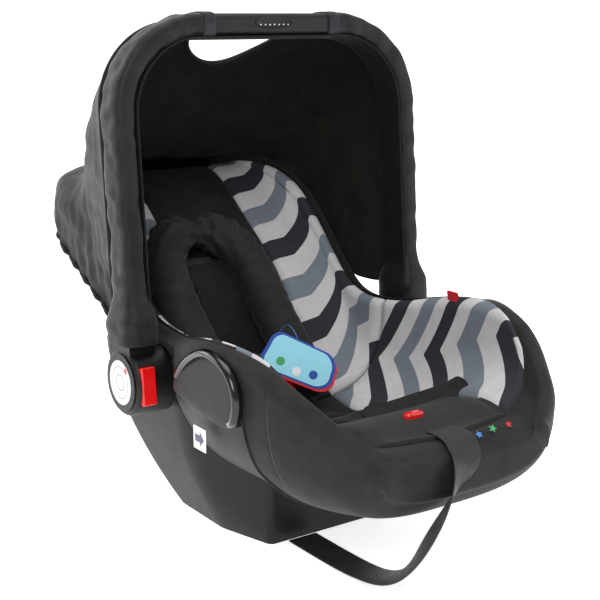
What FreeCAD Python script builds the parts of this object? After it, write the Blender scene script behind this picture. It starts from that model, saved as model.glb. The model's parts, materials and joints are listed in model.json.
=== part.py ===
import FreeCAD
import Part
import Sketcher
import math
import os
from FreeCAD import Placement, Rotation, Vector

# Infant carrier seat. Millimetres. +Z up, -Y towards the child's feet, X across.
# The origin is the centre of the footprint on the floor.
# Lengthwise stations below are counted from the handle's hinge axis.

DOC = FreeCAD.newDocument("InfantCarSeat")
SHEET = DOC.addObject("Spreadsheet::Sheet", "Sizes")

DIMENSIONS = [
    # where the handle's hinge axis is
    ("hub_fore_aft", 14.0),
    ("hub_height", 196.0),
    # plastic shell and its layers
    ("shell_wall", 4.0),
    ("skin_thick", 5.5),
    ("rim_pad", 10.0),
    ("pad_thick", 15.0),
    ("layer_gap", 0.5),
    ("foam_thick", 42.0),
    ("foam_half_width", 104.0),
    ("panel_seam_x", 70.0),
    ("panel_seam_y", -20.0),
    # carrying handle
    ("arch_half_width", 200.0),
    ("arch_height", 398.0),
    ("arch_corner", 101.0),
    ("arch_lean", 4.5),
    ("bar_thick", 18.0),
    ("bar_depth", 38.0),
    ("bar_edge_radius", 7.0),
    ("arm_start", 36.0),
    ("sleeve_thick", 4.0),
    ("sleeve_start", 66.0),
    ("grip_length", 156.0),
    ("grip_wall", 3.5),
    # hub
    ("housing_radius", 40.0),
    ("housing_inner", 171.5),
    ("housing_width", 45.5),
    ("neck_width", 44.0),
    ("neck_height", 62.0),
    ("gear_pocket_radius", 33.0),
    ("gear_pocket_depth", 18.5),
    ("bolt_radius", 6.95),
    ("bolt_bore_radius", 7.0),
    ("bolt_length", 39.0),
    ("plate_radius", 40.0),
    ("plate_boss_radius", 30.0),
    ("plate_inner", 164.2),
    ("plate_width", 6.8),
    ("flange_width", 3.0),
    ("gear_radius", 30.0),
    ("gear_width", 7.0),
    ("gear_bore", 8.0),
    ("gear_inner", 176.0),
    ("cap_radius", 34.0),
    ("cap_width", 2.0),
    ("sticker_radius", 26.0),
    ("sticker_thick", 0.5),
    ("button_width", 18.0),
    ("button_depth", 18.0),
    ("button_tall", 44.0),
    ("button_inner", 194.0),
    ("button_travel", 4.0),
    ("button_gap", 0.5),
    # harness
    ("webbing_width", 38.0),
    ("webbing_thick", 1.6),
    ("buckle_width", 62.0),
    ("buckle_length", 70.0),
    ("buckle_thick", 20.0),
    ("buckle_button_width", 30.0),
    ("buckle_button_length", 22.0),
    ("tongue_thick", 2.5),
    ("adjuster_width", 46.0),
    ("adjuster_length", 52.0),
    ("adjuster_depth", 26.0),
    ("release_width", 26.0),
    ("release_length", 12.0),
    ("release_height", 33.0),
    ("insert_shift", -26.0),
    ("pillow_radius", 22.0),
    ("pillow_half_width", 68.0),
    # small parts
    ("label_side", 27.0),
    ("label_thick", 0.6),
    ("screw_radius", 4.0),
    ("tail_width", 40.0),
    ("tail_thick", 1.8),
    ("canopy_thick", 3.0),
]

for row, (alias, value) in enumerate(DIMENSIONS, start=1):
    SHEET.set("A%d" % row, alias)
    SHEET.set("B%d" % row, str(value))
    SHEET.setAlias("B%d" % row, alias)
DOC.recompute()

D = {alias: float(SHEET.get(alias)) for alias, _ in DIMENSIONS}
HUB_Y = D["hub_fore_aft"]
HUB_Z = D["hub_height"]
SUB_PARTS = {}
SIDES = (("left", -1), ("right", 1))


# ---------------------------------------------------------------- helpers

def keep(label, obj, placement=None):
    """Names an object as a sub-part of the seat, to be written as one STEP file."""
    obj.Label = label
    if placement is not None:
        obj.Placement = placement
    SUB_PARTS[label] = obj
    return obj


def bind(obj, **expressions):
    """Binds properties to cells: bind(box, Length="grip_length")."""
    for name, cell in expressions.items():
        for alias in sorted(D, key=len, reverse=True):
            cell = cell.replace("#" + alias, "Sizes." + alias)
        obj.setExpression(name, cell)


def at(x, y, z, rotation=Rotation()):
    """A placement with y counted from the hinge axis."""
    return Placement(Vector(x, y + HUB_Y, z), rotation)


def shaped(label, shape, placement=Placement()):
    """A sub-part whose double-curved shape comes from Part's own functions."""
    feature = DOC.addObject("Part::Feature", label)
    feature.Shape = max(shape.Solids, key=lambda solid: solid.Volume)
    return keep(label, feature, placement)


def shaped_group(label, solids):
    """Identical fasteners as one sub-part of separate solids."""
    feature = DOC.addObject("Part::Feature", label)
    feature.Shape = Part.makeCompound(solids)
    return keep(label, feature, Placement())


def block(low, high):
    """A box between two corners, y from the hinge axis."""
    size = [b - a for a, b in zip(low, high)]
    return Part.makeBox(*size, Vector(low[0], low[1] + HUB_Y, low[2]))


def side_prism(points, x_low, x_high):
    """A polygon of (y, z) points, y from the hinge axis, pushed along X."""
    corners = [Vector(x_low, y + HUB_Y, z) for y, z in points]
    face = Part.Face(Part.makePolygon(corners + corners[:1]))
    return face.extrude(Vector(x_high - x_low, 0, 0))


# ---------------------------------------------------------------- seat body outline
# station, half width of the cover, rim height, underside of the shell, seat surface

STATIONS = [
    (-346, 108, 176, 140, 168),
    (-332, 136, 194, 120, 177),
    (-305, 160, 219, 106, 177),
    (-270, 178, 244, 100, 179),
    (-230, 190, 264, 97, 174),
    (-171, 196, 271, 94, 152),
    (-110, 192, 264, 92, 127),
    (-49, 176, 252, 91, 123),
    (0, 167, 249, 95, 144),
    (50, 167, 261, 108, 199),
    (85, 168, 288, 127, 252),
    (120, 168, 324, 149, 290),
    (156, 167, 362, 182, 318),
    (192, 162, 386, 210, 344),
    (242, 150, 397, 284, 381),
    (285, 128, 396, 336, 394),
    (318, 96, 388, 366, 387),
]
SHELL_FIRST = -305
SHELL_LAST = 318
CURVE_POWER = 3.2
CURVE_STEPS = 12


def bucket_wire(station, half_width, top, bottom, lift=0.0):
    """A closed U: a superellipse, its two arms carried straight up by lift, and a flat top."""
    depth = top - bottom
    points = []
    for i in range(CURVE_STEPS + 1):
        angle = math.pi * i / CURVE_STEPS
        c, s = math.cos(angle), math.sin(angle)
        across = math.copysign(abs(c) ** (2 / CURVE_POWER), c)
        points.append(Vector(half_width * across, station + HUB_Y,
                             top - depth * abs(s) ** (2 / CURVE_POWER)))
    curve = Part.BSplineCurve()
    curve.interpolate(points)
    if lift == 0.0:
        return Part.Wire([curve.toShape(), Part.makeLine(points[-1], points[0])])
    left, right = points[-1] + Vector(0, 0, lift), points[0] + Vector(0, 0, lift)
    return Part.Wire([curve.toShape(), Part.makeLine(points[-1], left),
                      Part.makeLine(left, right), Part.makeLine(right, points[0])])


def bucket(rows):
    """A solid through U sections: rows of (station, half width, top, bottom, lift)."""
    solid = Part.makeLoft([bucket_wire(*row) for row in rows], True, False)
    return solid if solid.Volume > 0 else solid.reversed()


def shell_rows(inset, lift=0.0, end_inset=0.0):
    """Sections of the shell's outer face, moved in by inset, with the top lifted."""
    rows = []
    side = D["skin_thick"] + D["layer_gap"] + inset
    for station, half, rim, under, _ in STATIONS:
        if SHELL_FIRST <= station <= SHELL_LAST:
            shift = 0.0
            if station == SHELL_FIRST:
                shift = end_inset
            if station == SHELL_LAST:
                shift = -end_inset
            floor = under + inset + (6.0 if station < -240 else 0.0)
            rows.append((station + shift, half - side, rim - D["rim_pad"], floor, lift))
    return rows


def cover_rows(first=-400, last=400):
    """Sections of the cover's outer face."""
    below = D["skin_thick"] + D["layer_gap"]
    return [(station, half, rim, under - below)
            for station, half, rim, under, _ in STATIONS if first <= station <= last]


CAVITY_SIDE = D["skin_thick"] + D["shell_wall"] + 2 * D["layer_gap"] + D["pad_thick"]


def cavity_rows(grow=0.0, lift=0.0, first=-400, last=290):
    """Sections of the space that the child sits in, grown outwards by grow."""
    return [(station, half - CAVITY_SIDE + grow, rim, min(seat, rim - 3.0) - grow, lift)
            for station, half, rim, under, seat in STATIONS if first <= station <= last]


COVER = bucket(cover_rows())
SHELL_FILLED = bucket(shell_rows(-D["layer_gap"], lift=D["layer_gap"], end_inset=-D["layer_gap"]))
SHELL_OUTER = bucket(shell_rows(0.0))
SHELL_HOLLOW = bucket(shell_rows(D["shell_wall"], lift=60.0, end_inset=D["shell_wall"]))
CAVITY = bucket(cavity_rows(lift=60.0))


# ---------------------------------------------------------------- shell and base

BASE_ROWS = [
    # height, half width in front, half width behind, front, rear
    (0.0, 84.0, 105.0, -105.0, 96.0),
    (45.0, 88.0, 127.0, -112.0, 116.0),
    (95.0, 94.0, 147.0, -119.0, 134.0),
    (135.0, 110.0, 157.0, -124.0, 152.0),
    (205.0, 130.0, 159.0, -130.0, 184.0),
]
BASE_SHOULDER = -30.0
BASE_FRONT_RADIUS = 9.0
BASE_REAR_RADIUS = 36.0
BASE_SIDE_RADIUS = 60.0
BASE_FLOOR = 5.0


def rounded_polygon(corners):
    """A closed wire through (point, radius) corners, each rounded by a tangent arc."""
    points = [point for point, _ in corners]
    edges = []
    ends = []
    for i, (corner, radius) in enumerate(corners):
        into = (corner - points[i - 1]).normalize()
        out = (points[(i + 1) % len(points)] - corner).normalize()
        turn = into.getAngle(out)
        trim = radius * math.tan(turn / 2)
        bisector = (out - into).normalize()
        middle = corner + bisector * (radius / math.cos(turn / 2) - radius)
        ends.append((corner - into * trim, middle, corner + out * trim))
    for i, (start, middle, end) in enumerate(ends):
        edges.append(Part.Arc(start, middle, end).toShape())
        edges.append(Part.makeLine(end, ends[(i + 1) % len(ends)][0]))
    return Part.Wire(edges)


def tower(inset, floor):
    """The base's block, its walls moved in by inset and its foot raised to floor."""
    wires = []
    for height, front_half, rear_half, front, rear in BASE_ROWS:
        raised = max(height, floor)
        front_y = front + inset + HUB_Y
        rear_y = rear - inset + HUB_Y
        slim, wide = front_half - inset, rear_half - inset
        shoulder = BASE_SHOULDER + HUB_Y
        right = [(Vector(slim, front_y, raised), BASE_FRONT_RADIUS),
                 (Vector(wide, shoulder, raised), BASE_SIDE_RADIUS),
                 (Vector(wide, rear_y, raised), BASE_REAR_RADIUS)]
        left = [(Vector(-point.x, point.y, point.z), radius) for point, radius in reversed(right)]
        wires.append(rounded_polygon(right + left))
    return Part.makeLoft(wires, True, False)


pad_clearance = bucket(cavity_rows(grow=D["pad_thick"] + D["layer_gap"], lift=60.0))
shell_tub = SHELL_OUTER.cut(SHELL_HOLLOW).cut(pad_clearance)
base = tower(0.0, 0.0).cut(tower(D["shell_wall"], BASE_FLOOR)).cut(SHELL_FILLED)

SCREW_SPOTS = [(-60, -70), (60, -70), (-60, 60), (60, 60)]


def foot_screws(radius, depth, lift=0.0):
    """Round screws let into the base's foot, one at each corner."""
    return [Part.makeCylinder(radius, depth, Vector(x, y + HUB_Y, lift)) for x, y in SCREW_SPOTS]


SCREW_LIFT = 2.0
base = base.cut(foot_screws(D["screw_radius"] + 0.3, BASE_FLOOR + 1.0))
# flat seats in the wall that the hub plates stand on
for side in (-1, 1):
    face = Vector(side * D["plate_inner"], HUB_Y, HUB_Z)
    shell_tub = shell_tub.cut(Part.makeCylinder(D["plate_radius"] + 1, 10, face, Vector(side, 0, 0)))
shaped("shell_tub", shell_tub)
shaped("rocker_base", base)
shaped_group("base_screws", foot_screws(D["screw_radius"], BASE_FLOOR - SCREW_LIFT, SCREW_LIFT))


# ---------------------------------------------------------------- padding inside the shell

PAD_LAYER = bucket(cavity_rows(grow=D["pad_thick"])).cut(CAVITY)
PAD_LAYER = PAD_LAYER.common(bucket(shell_rows(D["shell_wall"] + D["layer_gap"], lift=60.0)))
PAD_BELOW_RIM = D["rim_pad"] + 0.8
RIM_LIMIT = bucket([(station, half + 40, rim - PAD_BELOW_RIM, 0)
                    for station, half, rim, _, _ in STATIONS if station <= SHELL_LAST])
RELEASE_FRONT = -263.5
RELEASE_WINDOW = ((-D["release_width"] / 2 - 0.6, RELEASE_FRONT - 0.6, 100.0),
                  (D["release_width"] / 2 + 0.6,
                   RELEASE_FRONT + D["release_length"] + 0.6, 250.0))
SEAM_X = D["panel_seam_x"]
SEAM_Y = D["panel_seam_y"]
HALF_GAP = D["layer_gap"] / 2
PAD_FRONT = -303.9
PAD_REAR = 280.0
FAR = 400.0


def pad_panel(label, x_low, x_high, y_low, y_high):
    """One panel of the padding, cut from the layer by straight seams."""
    piece = PAD_LAYER.common(block((x_low, y_low, 0), (x_high, y_high, FAR * 2)))
    piece = piece.common(RIM_LIMIT)
    if label == "seat_pad":
        piece = piece.cut(block(*RELEASE_WINDOW))
    shaped(label, piece)


for name, side in SIDES:
    near, far = sorted((side * (SEAM_X + HALF_GAP), side * FAR))
    pad_panel("wing_pad_" + name, near, far, SEAM_Y + HALF_GAP, PAD_REAR)
    pad_panel("thigh_pad_" + name, near, far, PAD_FRONT, SEAM_Y - HALF_GAP)
pad_panel("back_pad", -SEAM_X + HALF_GAP, SEAM_X - HALF_GAP, SEAM_Y + HALF_GAP, PAD_REAR)
pad_panel("seat_pad", -SEAM_X + HALF_GAP, SEAM_X - HALF_GAP, PAD_FRONT, SEAM_Y - HALF_GAP)

FOAM_X = D["foam_half_width"]
FOAM_FRONT = -180.0
FOAM_REAR = 262.0
foam = bucket(cavity_rows(grow=D["pad_thick"] + D["foam_thick"]))
foam = foam.common(block((-FOAM_X, FOAM_FRONT, 0), (FOAM_X, FOAM_REAR, FAR)))
foam = foam.cut(pad_clearance)
foam = foam.common(bucket(shell_rows(D["shell_wall"] + D["layer_gap"])))
shaped("foam_liner", foam)


# ---------------------------------------------------------------- fabric cover

COVER_SPLIT = -252.0
skin = COVER.cut(SHELL_FILLED).cut(CAVITY)
front = skin.common(block((-FAR, -FAR, 0), (FAR, COVER_SPLIT - HALF_GAP, FAR)))

# lower edge of the side skirts, with the notch for the lap belt guide and the hub
SKIRT_EDGE = [
    (-260, 0), (-250, 96), (-245, 104), (-219, 147), (-217, 178), (-203, 201),
    (-221, 212), (-217, 240), (-188, 262), (-157, 264), (-110, 242), (-73, 212),
    (-50, 214), (-46, 243), (46, 243), (60, 226), (100, 236), (150, 282),
    (200, 330), (250, 362), (330, 380), (330, 0),
]
skirt = skin.common(block((-FAR, COVER_SPLIT + HALF_GAP, 0), (FAR, FAR, FAR)))
skirt = skirt.cut(side_prism(SKIRT_EDGE, -FAR, FAR))
shaped("cover_front", front)
for name, side in SIDES:
    low, high = sorted((side * 0.25, side * FAR))
    half = skirt.common(block((low, -FAR, 0), (high, FAR, FAR)))
    shaped("cover_side_" + name, half)


# ---------------------------------------------------------------- newborn insert

SHIFT = D["insert_shift"]
BODY_PAD_GAP = 0.6
BODY_PAD_THICK = 9.0
body_pad = bucket(cavity_rows(grow=-BODY_PAD_GAP)).cut(
    bucket(cavity_rows(grow=-BODY_PAD_GAP - BODY_PAD_THICK, lift=60.0)))
body_pad = body_pad.common(block((SHIFT - 62, -150, 0), (SHIFT + 62, 42, FAR)))
shaped("body_pad", body_pad)

PILLOW_SLOPE = 45.0
PILLOW_LOW = (59.0, 268.0)
PILLOW_STRAIGHT = 70.0


def pillow():
    """A horseshoe tube lying on the sloping back."""
    half, radius = D["pillow_half_width"], D["pillow_radius"]
    top = PILLOW_STRAIGHT + half
    path = Part.Wire([
        Part.makeLine(Vector(-half, 0, 0), Vector(-half, PILLOW_STRAIGHT, 0)),
        Part.Arc(Vector(-half, PILLOW_STRAIGHT, 0), Vector(0, top, 0),
                 Vector(half, PILLOW_STRAIGHT, 0)).toShape(),
        Part.makeLine(Vector(half, PILLOW_STRAIGHT, 0), Vector(half, 0, 0)),
    ])
    ring = Part.Wire(Part.makeCircle(radius, Vector(-half, 0, 0), Vector(0, 1, 0)))
    return path.makePipeShell([ring], True, False)


shaped("head_pillow", pillow(),
       at(SHIFT, PILLOW_LOW[0], PILLOW_LOW[1], Rotation(Vector(1, 0, 0), PILLOW_SLOPE)))


# ---------------------------------------------------------------- handle

LEAN = Rotation(Vector(1, 0, 0), -D["arch_lean"])
HINGE = at(0, 0, HUB_Z, LEAN)


def plane(body, role):
    return [f for f in body.Origin.OriginFeatures if f.Role == role][0]


def sketch_on(body, name, role):
    sketch = body.newObject("Sketcher::SketchObject", name)
    sketch.AttachmentSupport = [(plane(body, role), "")]
    sketch.MapMode = "FlatFace"
    return sketch


def add_rounded_rectangle(sketch, x, y, width, height, radius):
    """A rounded rectangle centred on x, y."""
    w, h, r = width / 2, height / 2, radius
    corners = [(x + w - r, y + h - r, 0), (x - w + r, y + h - r, 90),
               (x - w + r, y - h + r, 180), (x + w - r, y - h + r, 270)]
    arcs = []
    for cx, cy, start in corners:
        circle = Part.Circle(Vector(cx, cy, 0), Vector(0, 0, 1), r)
        arcs.append(Part.ArcOfCircle(circle, math.radians(start), math.radians(start + 90)))
    for i, arc in enumerate(arcs):
        sketch.addGeometry(arc, False)
        following = arcs[(i + 1) % len(arcs)]
        sketch.addGeometry(Part.LineSegment(arc.EndPoint, following.StartPoint), False)


def arch_path(sketch, half, height, corner, start):
    """The handle's line: up one arm, round two corners and down the other."""
    turn = math.pi / 2
    z_dir = Vector(0, 0, 1)
    left = Part.Circle(Vector(-half + corner, height - corner, 0), z_dir, corner)
    right = Part.Circle(Vector(half - corner, height - corner, 0), z_dir, corner)
    sketch.addGeometry(Part.LineSegment(Vector(-half, start, 0),
                                        Vector(-half, height - corner, 0)), False)
    sketch.addGeometry(Part.ArcOfCircle(left, turn, 2 * turn), False)
    sketch.addGeometry(Part.LineSegment(Vector(-half + corner, height, 0),
                                        Vector(half - corner, height, 0)), False)
    sketch.addGeometry(Part.ArcOfCircle(right, 0, turn), False)
    sketch.addGeometry(Part.LineSegment(Vector(half, height - corner, 0),
                                        Vector(half, start, 0)), False)


def arch_body(name, width, depth, radius, start):
    """A bar of rounded section swept along the handle's line, as one body."""
    body = DOC.addObject("PartDesign::Body", name)
    path = sketch_on(body, name + "_path", "XZ_Plane")
    arch_path(path, D["arch_half_width"], D["arch_height"], D["arch_corner"], start)
    section = sketch_on(body, name + "_section", "XY_Plane")
    section.AttachmentOffset = Placement(Vector(0, 0, start), Rotation())
    add_rounded_rectangle(section, -D["arch_half_width"], 0, width, depth, radius)
    pipe = body.newObject("PartDesign::AdditivePipe", name + "_pipe")
    pipe.Profile = (section, [""])
    pipe.Spine = (path, [""])
    body.Tip = pipe
    return body


arch = arch_body("handle_arch", D["bar_thick"], D["bar_depth"], D["bar_edge_radius"],
                 D["arm_start"])
keep("handle_arch", arch, HINGE)
DOC.recompute()

SLEEVE_GAP = 0.4
sleeve_outer = arch_body("sleeve_outer", D["bar_thick"] + 2 * (D["sleeve_thick"] + SLEEVE_GAP),
                         D["bar_depth"] + 2 * (D["sleeve_thick"] + SLEEVE_GAP),
                         D["bar_edge_radius"] + D["sleeve_thick"], D["sleeve_start"])
sleeve_inner = arch_body("sleeve_inner", D["bar_thick"] + 2 * SLEEVE_GAP,
                         D["bar_depth"] + 2 * SLEEVE_GAP,
                         D["bar_edge_radius"] + SLEEVE_GAP, D["sleeve_start"] - 1.0)
DOC.recompute()
GRIP_HALF = D["grip_length"] / 2
for name, side in SIDES:
    low, high = sorted((side * (GRIP_HALF + 3.0), side * FAR))
    half = sleeve_outer.Shape.cut(sleeve_inner.Shape)
    half = half.common(Part.makeBox(high - low, FAR, FAR * 2, Vector(low, -FAR / 2, 0)))
    shaped("canopy_sleeve_" + name, half, HINGE)
for helper in (sleeve_outer, sleeve_inner):
    helper.removeObjectsFromDocument()
    DOC.removeObject(helper.Name)


def primitive(kind, name, **cells):
    """A Part primitive with its sizes bound to the sheet."""
    obj = DOC.addObject("Part::" + kind, name)
    bind(obj, **cells)
    return obj


def boolean(kind, name, base_obj, tool_obj):
    obj = DOC.addObject("Part::" + kind, name)
    obj.Base = base_obj
    obj.Tool = tool_obj
    return obj


# rubber grip round the middle of the bar
GRIP_EDGE = 9.0
grip_outer = primitive("Box", "grip_outer", Length="#grip_length",
                       Width="#bar_depth + 2 * #grip_wall + 0.6",
                       Height="#bar_thick + 2 * #grip_wall + 0.6")
grip_outer.Placement = Placement(Vector(-GRIP_HALF, -(D["bar_depth"] / 2 + D["grip_wall"] + 0.3),
                                        D["arch_height"] - D["bar_thick"] / 2
                                        - D["grip_wall"] - 0.3), Rotation())
DOC.recompute()
grip_round = DOC.addObject("Part::Fillet", "grip_round")
grip_round.Base = grip_outer
long_edges = [i for i, e in enumerate(grip_outer.Shape.Edges, start=1)
              if abs(e.tangentAt(e.FirstParameter).x) > 0.9]
grip_round.Edges = [(i, GRIP_EDGE, GRIP_EDGE) for i in long_edges]
grip_hole = primitive("Box", "grip_hole", Length="#grip_length + 2",
                      Width="#bar_depth + 0.6", Height="#bar_thick + 0.6")
grip_hole.Placement = Placement(Vector(-GRIP_HALF - 1, -D["bar_depth"] / 2 - 0.3,
                                       D["arch_height"] - D["bar_thick"] / 2 - 0.3), Rotation())
grip = boolean("Cut", "handle_grip", grip_round, grip_hole)
keep("handle_grip", grip, HINGE)


# ---------------------------------------------------------------- hubs

ALONG_X = Rotation(Vector(0, 1, 0), 90)
AGAINST_X = Rotation(Vector(0, 1, 0), -90)
ZERO = Vector(0, 0, 0)


def across(side, distance):
    """Turns a local Z axis outwards along X, starting at distance from the middle."""
    return Placement(Vector(side * distance, 0, 0), ALONG_X if side > 0 else AGAINST_X)


def round_pad(name, radius, length, bore=None):
    """A disc with an optional bore, sketched and padded."""
    body = DOC.addObject("PartDesign::Body", name)
    sketch = sketch_on(body, name + "_outline", "XY_Plane")
    sketch.addGeometry(Part.Circle(ZERO, Vector(0, 0, 1), D[radius]), False)
    sketch.addConstraint(Sketcher.Constraint("Coincident", 0, 3, -1, 1))
    sketch.addConstraint(Sketcher.Constraint("Radius", 0, D[radius]))
    sketch.setExpression("Constraints[1]", "Sizes." + radius)
    if bore:
        sketch.addGeometry(Part.Circle(ZERO, Vector(0, 0, 1), D[bore]), False)
        sketch.addConstraint(Sketcher.Constraint("Coincident", 1, 3, -1, 1))
        sketch.addConstraint(Sketcher.Constraint("Radius", 1, D[bore]))
        sketch.setExpression("Constraints[3]", "Sizes." + bore)
    pad = body.newObject("PartDesign::Pad", name + "_pad")
    pad.Profile = (sketch, [""])
    pad.setExpression("Length", "Sizes." + length)
    body.Tip = pad
    return body


TOOTH_COUNT = 12
TOOTH_SIZE = 5.0
BUTTON_POCKET_BACK = 5.0


def hub_housing(name, side):
    """The rotating hub: a round cup with a neck for the arm and a pocket for the button."""
    disc = primitive("Cylinder", name + "_disc", Radius="#housing_radius",
                     Height="#housing_width")
    disc.Placement = across(side, D["housing_inner"])
    neck = primitive("Box", name + "_neck", Length="#bar_thick + 14", Width="#neck_width",
                     Height="#neck_height")
    neck_low = D["arch_half_width"] - D["bar_thick"] / 2 - 7.0
    neck_x = neck_low if side > 0 else -neck_low - D["bar_thick"] - 14.0
    neck.Placement = Placement(Vector(neck_x, -D["neck_width"] / 2, 0), Rotation())
    DOC.recompute()
    rounded = DOC.addObject("Part::Fillet", name + "_rounded")
    rounded.Base = disc
    outer_edges = [i for i, e in enumerate(disc.Shape.Edges, start=1)
                   if abs(abs(e.CenterOfMass.x) - D["housing_inner"] - D["housing_width"]) < 0.1]
    rounded.Edges = [(i, 6.0, 6.0) for i in outer_edges]
    cup = boolean("Fuse", name + "_cup", rounded, neck)
    pocket = primitive("Cylinder", name + "_pocket", Radius="#gear_pocket_radius",
                       Height="#gear_pocket_depth + 1")
    pocket.Placement = across(side, D["housing_inner"] - 1.0)
    bore = primitive("Cylinder", name + "_bore", Radius="#bolt_bore_radius",
                     Height="#bolt_length + 2")
    bore.Placement = across(side, D["plate_inner"])
    slot = primitive("Box", name + "_slot", Length="#button_width + 2 * #button_gap",
                     Width="#button_depth + #button_travel + #button_gap + 5",
                     Height="#button_tall + 2 * #button_gap")
    slot_low = D["button_inner"] - D["button_gap"]
    slot_x = slot_low if side > 0 else -slot_low - D["button_width"] - 2 * D["button_gap"]
    slot.Placement = Placement(Vector(slot_x, -D["housing_radius"] - BUTTON_POCKET_BACK,
                                      -D["button_tall"] / 2 - 1 - D["button_gap"]), Rotation())
    arm = primitive("Box", name + "_arm", Length="#bar_thick + 0.6",
                    Width="#bar_depth + 0.6", Height="#neck_height")
    arm_low = D["arch_half_width"] - D["bar_thick"] / 2 - 0.3
    arm_x = arm_low if side > 0 else -arm_low - D["bar_thick"] - 0.6
    arm.Placement = Placement(Vector(arm_x, -D["bar_depth"] / 2 - 0.3, D["arm_start"] - 0.3),
                              Rotation())
    step_one = boolean("Cut", name + "_a", cup, pocket)
    step_two = boolean("Cut", name + "_b", step_one, bore)
    step_three = boolean("Cut", name + "_c", step_two, slot)
    return keep(name, boolean("Cut", name, step_three, arm), HINGE)


def lock_gear(name, side):
    """A toothed disc on the hinge bolt: one tooth cut round the ring."""
    body = round_pad(name, "gear_radius", "gear_width", bore="gear_bore")
    gap = sketch_on(body, name + "_gap", "XY_Plane")
    add_rounded_rectangle(gap, D["gear_radius"], 0, 2 * TOOTH_SIZE, TOOTH_SIZE, 0.8)
    cut = body.newObject("PartDesign::Pocket", name + "_cut")
    cut.Profile = (gap, [""])
    cut.Type = 1
    cut.Reversed = True
    body.Tip = cut
    DOC.recompute()
    ring = body.newObject("PartDesign::PolarPattern", name + "_ring")
    ring.Originals = [cut]
    ring.Axis = (gap, ["N_Axis"])
    ring.Angle = 360
    ring.Occurrences = TOOTH_COUNT
    body.Tip = ring
    outwards = across(side, D["gear_inner"])
    return keep(name, body, HINGE.multiply(outwards))


def hub_plate(name, side):
    """The fixed plate on the shell: a boss, a flange and a ring of teeth towards the gear."""
    boss = Part.makeCylinder(D["plate_boss_radius"], D["plate_width"])
    flange = Part.makeCylinder(D["plate_radius"], D["flange_width"],
                               Vector(0, 0, D["plate_width"] - D["flange_width"]))
    solid = boss.fuse(flange)
    reach = D["gear_inner"] - 0.5 - D["plate_inner"] - D["plate_width"] + 1.0
    for i in range(TOOTH_COUNT):
        tooth = Part.makeBox(TOOTH_SIZE, TOOTH_SIZE - 1.0, reach,
                             Vector(22.0, -(TOOTH_SIZE - 1.0) / 2, D["plate_width"] - 1.0))
        tooth.rotate(ZERO, Vector(0, 0, 1), 360.0 * i / TOOTH_COUNT)
        solid = solid.fuse(tooth)
    bore = Part.makeCylinder(D["bolt_radius"], D["plate_width"] + 2, Vector(0, 0, -1))
    solid = solid.cut(bore).removeSplitter()
    return shaped(name, solid, at(0, 0, HUB_Z).multiply(across(side, D["plate_inner"])))


for name, side in SIDES:
    hub_plate("hub_plate_" + name, side)
    bolt = primitive("Cylinder", "pivot_bolt_" + name, Radius="#bolt_radius",
                     Height="#bolt_length")
    keep("pivot_bolt_" + name, bolt, at(0, 0, HUB_Z).multiply(across(side, D["plate_inner"])))
    hub_housing("hub_housing_" + name, side)
    lock_gear("lock_gear_" + name, side)
    outer = D["housing_inner"] + D["housing_width"]
    cap = round_pad("hub_cap_" + name, "cap_radius", "cap_width")
    keep("hub_cap_" + name, cap, HINGE.multiply(across(side, outer)))
    disc = round_pad("hub_sticker_" + name, "sticker_radius", "sticker_thick")
    keep("hub_sticker_" + name, disc, HINGE.multiply(across(side, outer + D["cap_width"])))
    press = primitive("Box", "press_" + name, Length="#button_width", Width="#button_depth",
                      Height="#button_tall")
    press_x = D["button_inner"] if side > 0 else -D["button_inner"] - D["button_width"]
    press.Placement = Placement(Vector(press_x, -D["housing_radius"] - 0.5,
                                       -D["button_tall"] / 2 - 1), Rotation())
    DOC.recompute()
    soft = DOC.addObject("Part::Fillet", "red_button_" + name)
    soft.Base = press
    soft.Edges = [(i, 2.0, 2.0) for i in range(1, 13)]
    keep("red_button_" + name, soft, HINGE)


# ---------------------------------------------------------------- lap belt guides

GUIDE_PLATE = [(-200, 203), (-214, 213), (-211, 238), (-184, 257), (-157, 260),
               (-110, 238), (-80, 211), (-120, 196), (-165, 187)]
GUIDE_FIN = [(-203, 201), (-219, 212), (-215, 240), (-187, 261), (-157, 263),
             (-157, 256), (-183, 251), (-207, 234), (-210, 214), (-198, 205)]
GUIDE_PLATE_X = (187.0, 195.0)
GUIDE_FIN_X = (187.0, 206.0)
for name, side in SIDES:
    plate_low, plate_high = sorted(side * x for x in GUIDE_PLATE_X)
    fin_low, fin_high = sorted(side * x for x in GUIDE_FIN_X)
    guide = side_prism(GUIDE_PLATE, plate_low, plate_high)
    guide = guide.fuse(side_prism(GUIDE_FIN, fin_low, fin_high))
    guide = guide.cut(SHELL_FILLED).cut(SUB_PARTS["cover_side_" + name].Shape)
    guide = guide.cut(SUB_PARTS["thigh_pad_" + name].Shape)
    guide = guide.removeSplitter()
    shaped("lap_belt_guide_" + name, guide)

GUIDE_HOOK = [(0, 0), (0, 30), (26, 30), (26, 22), (9, 22), (9, 0)]
REAR_GUIDE_HALF = 55.0
corners = [Vector(-REAR_GUIDE_HALF, y, z) for y, z in GUIDE_HOOK]
hook = Part.Face(Part.makePolygon(corners + corners[:1]))
hook = hook.extrude(Vector(2 * REAR_GUIDE_HALF, 0, 0))
shaped("rear_belt_guide", hook, at(0, 232, 252, Rotation(Vector(1, 0, 0), -32)))


# ---------------------------------------------------------------- harness

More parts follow.
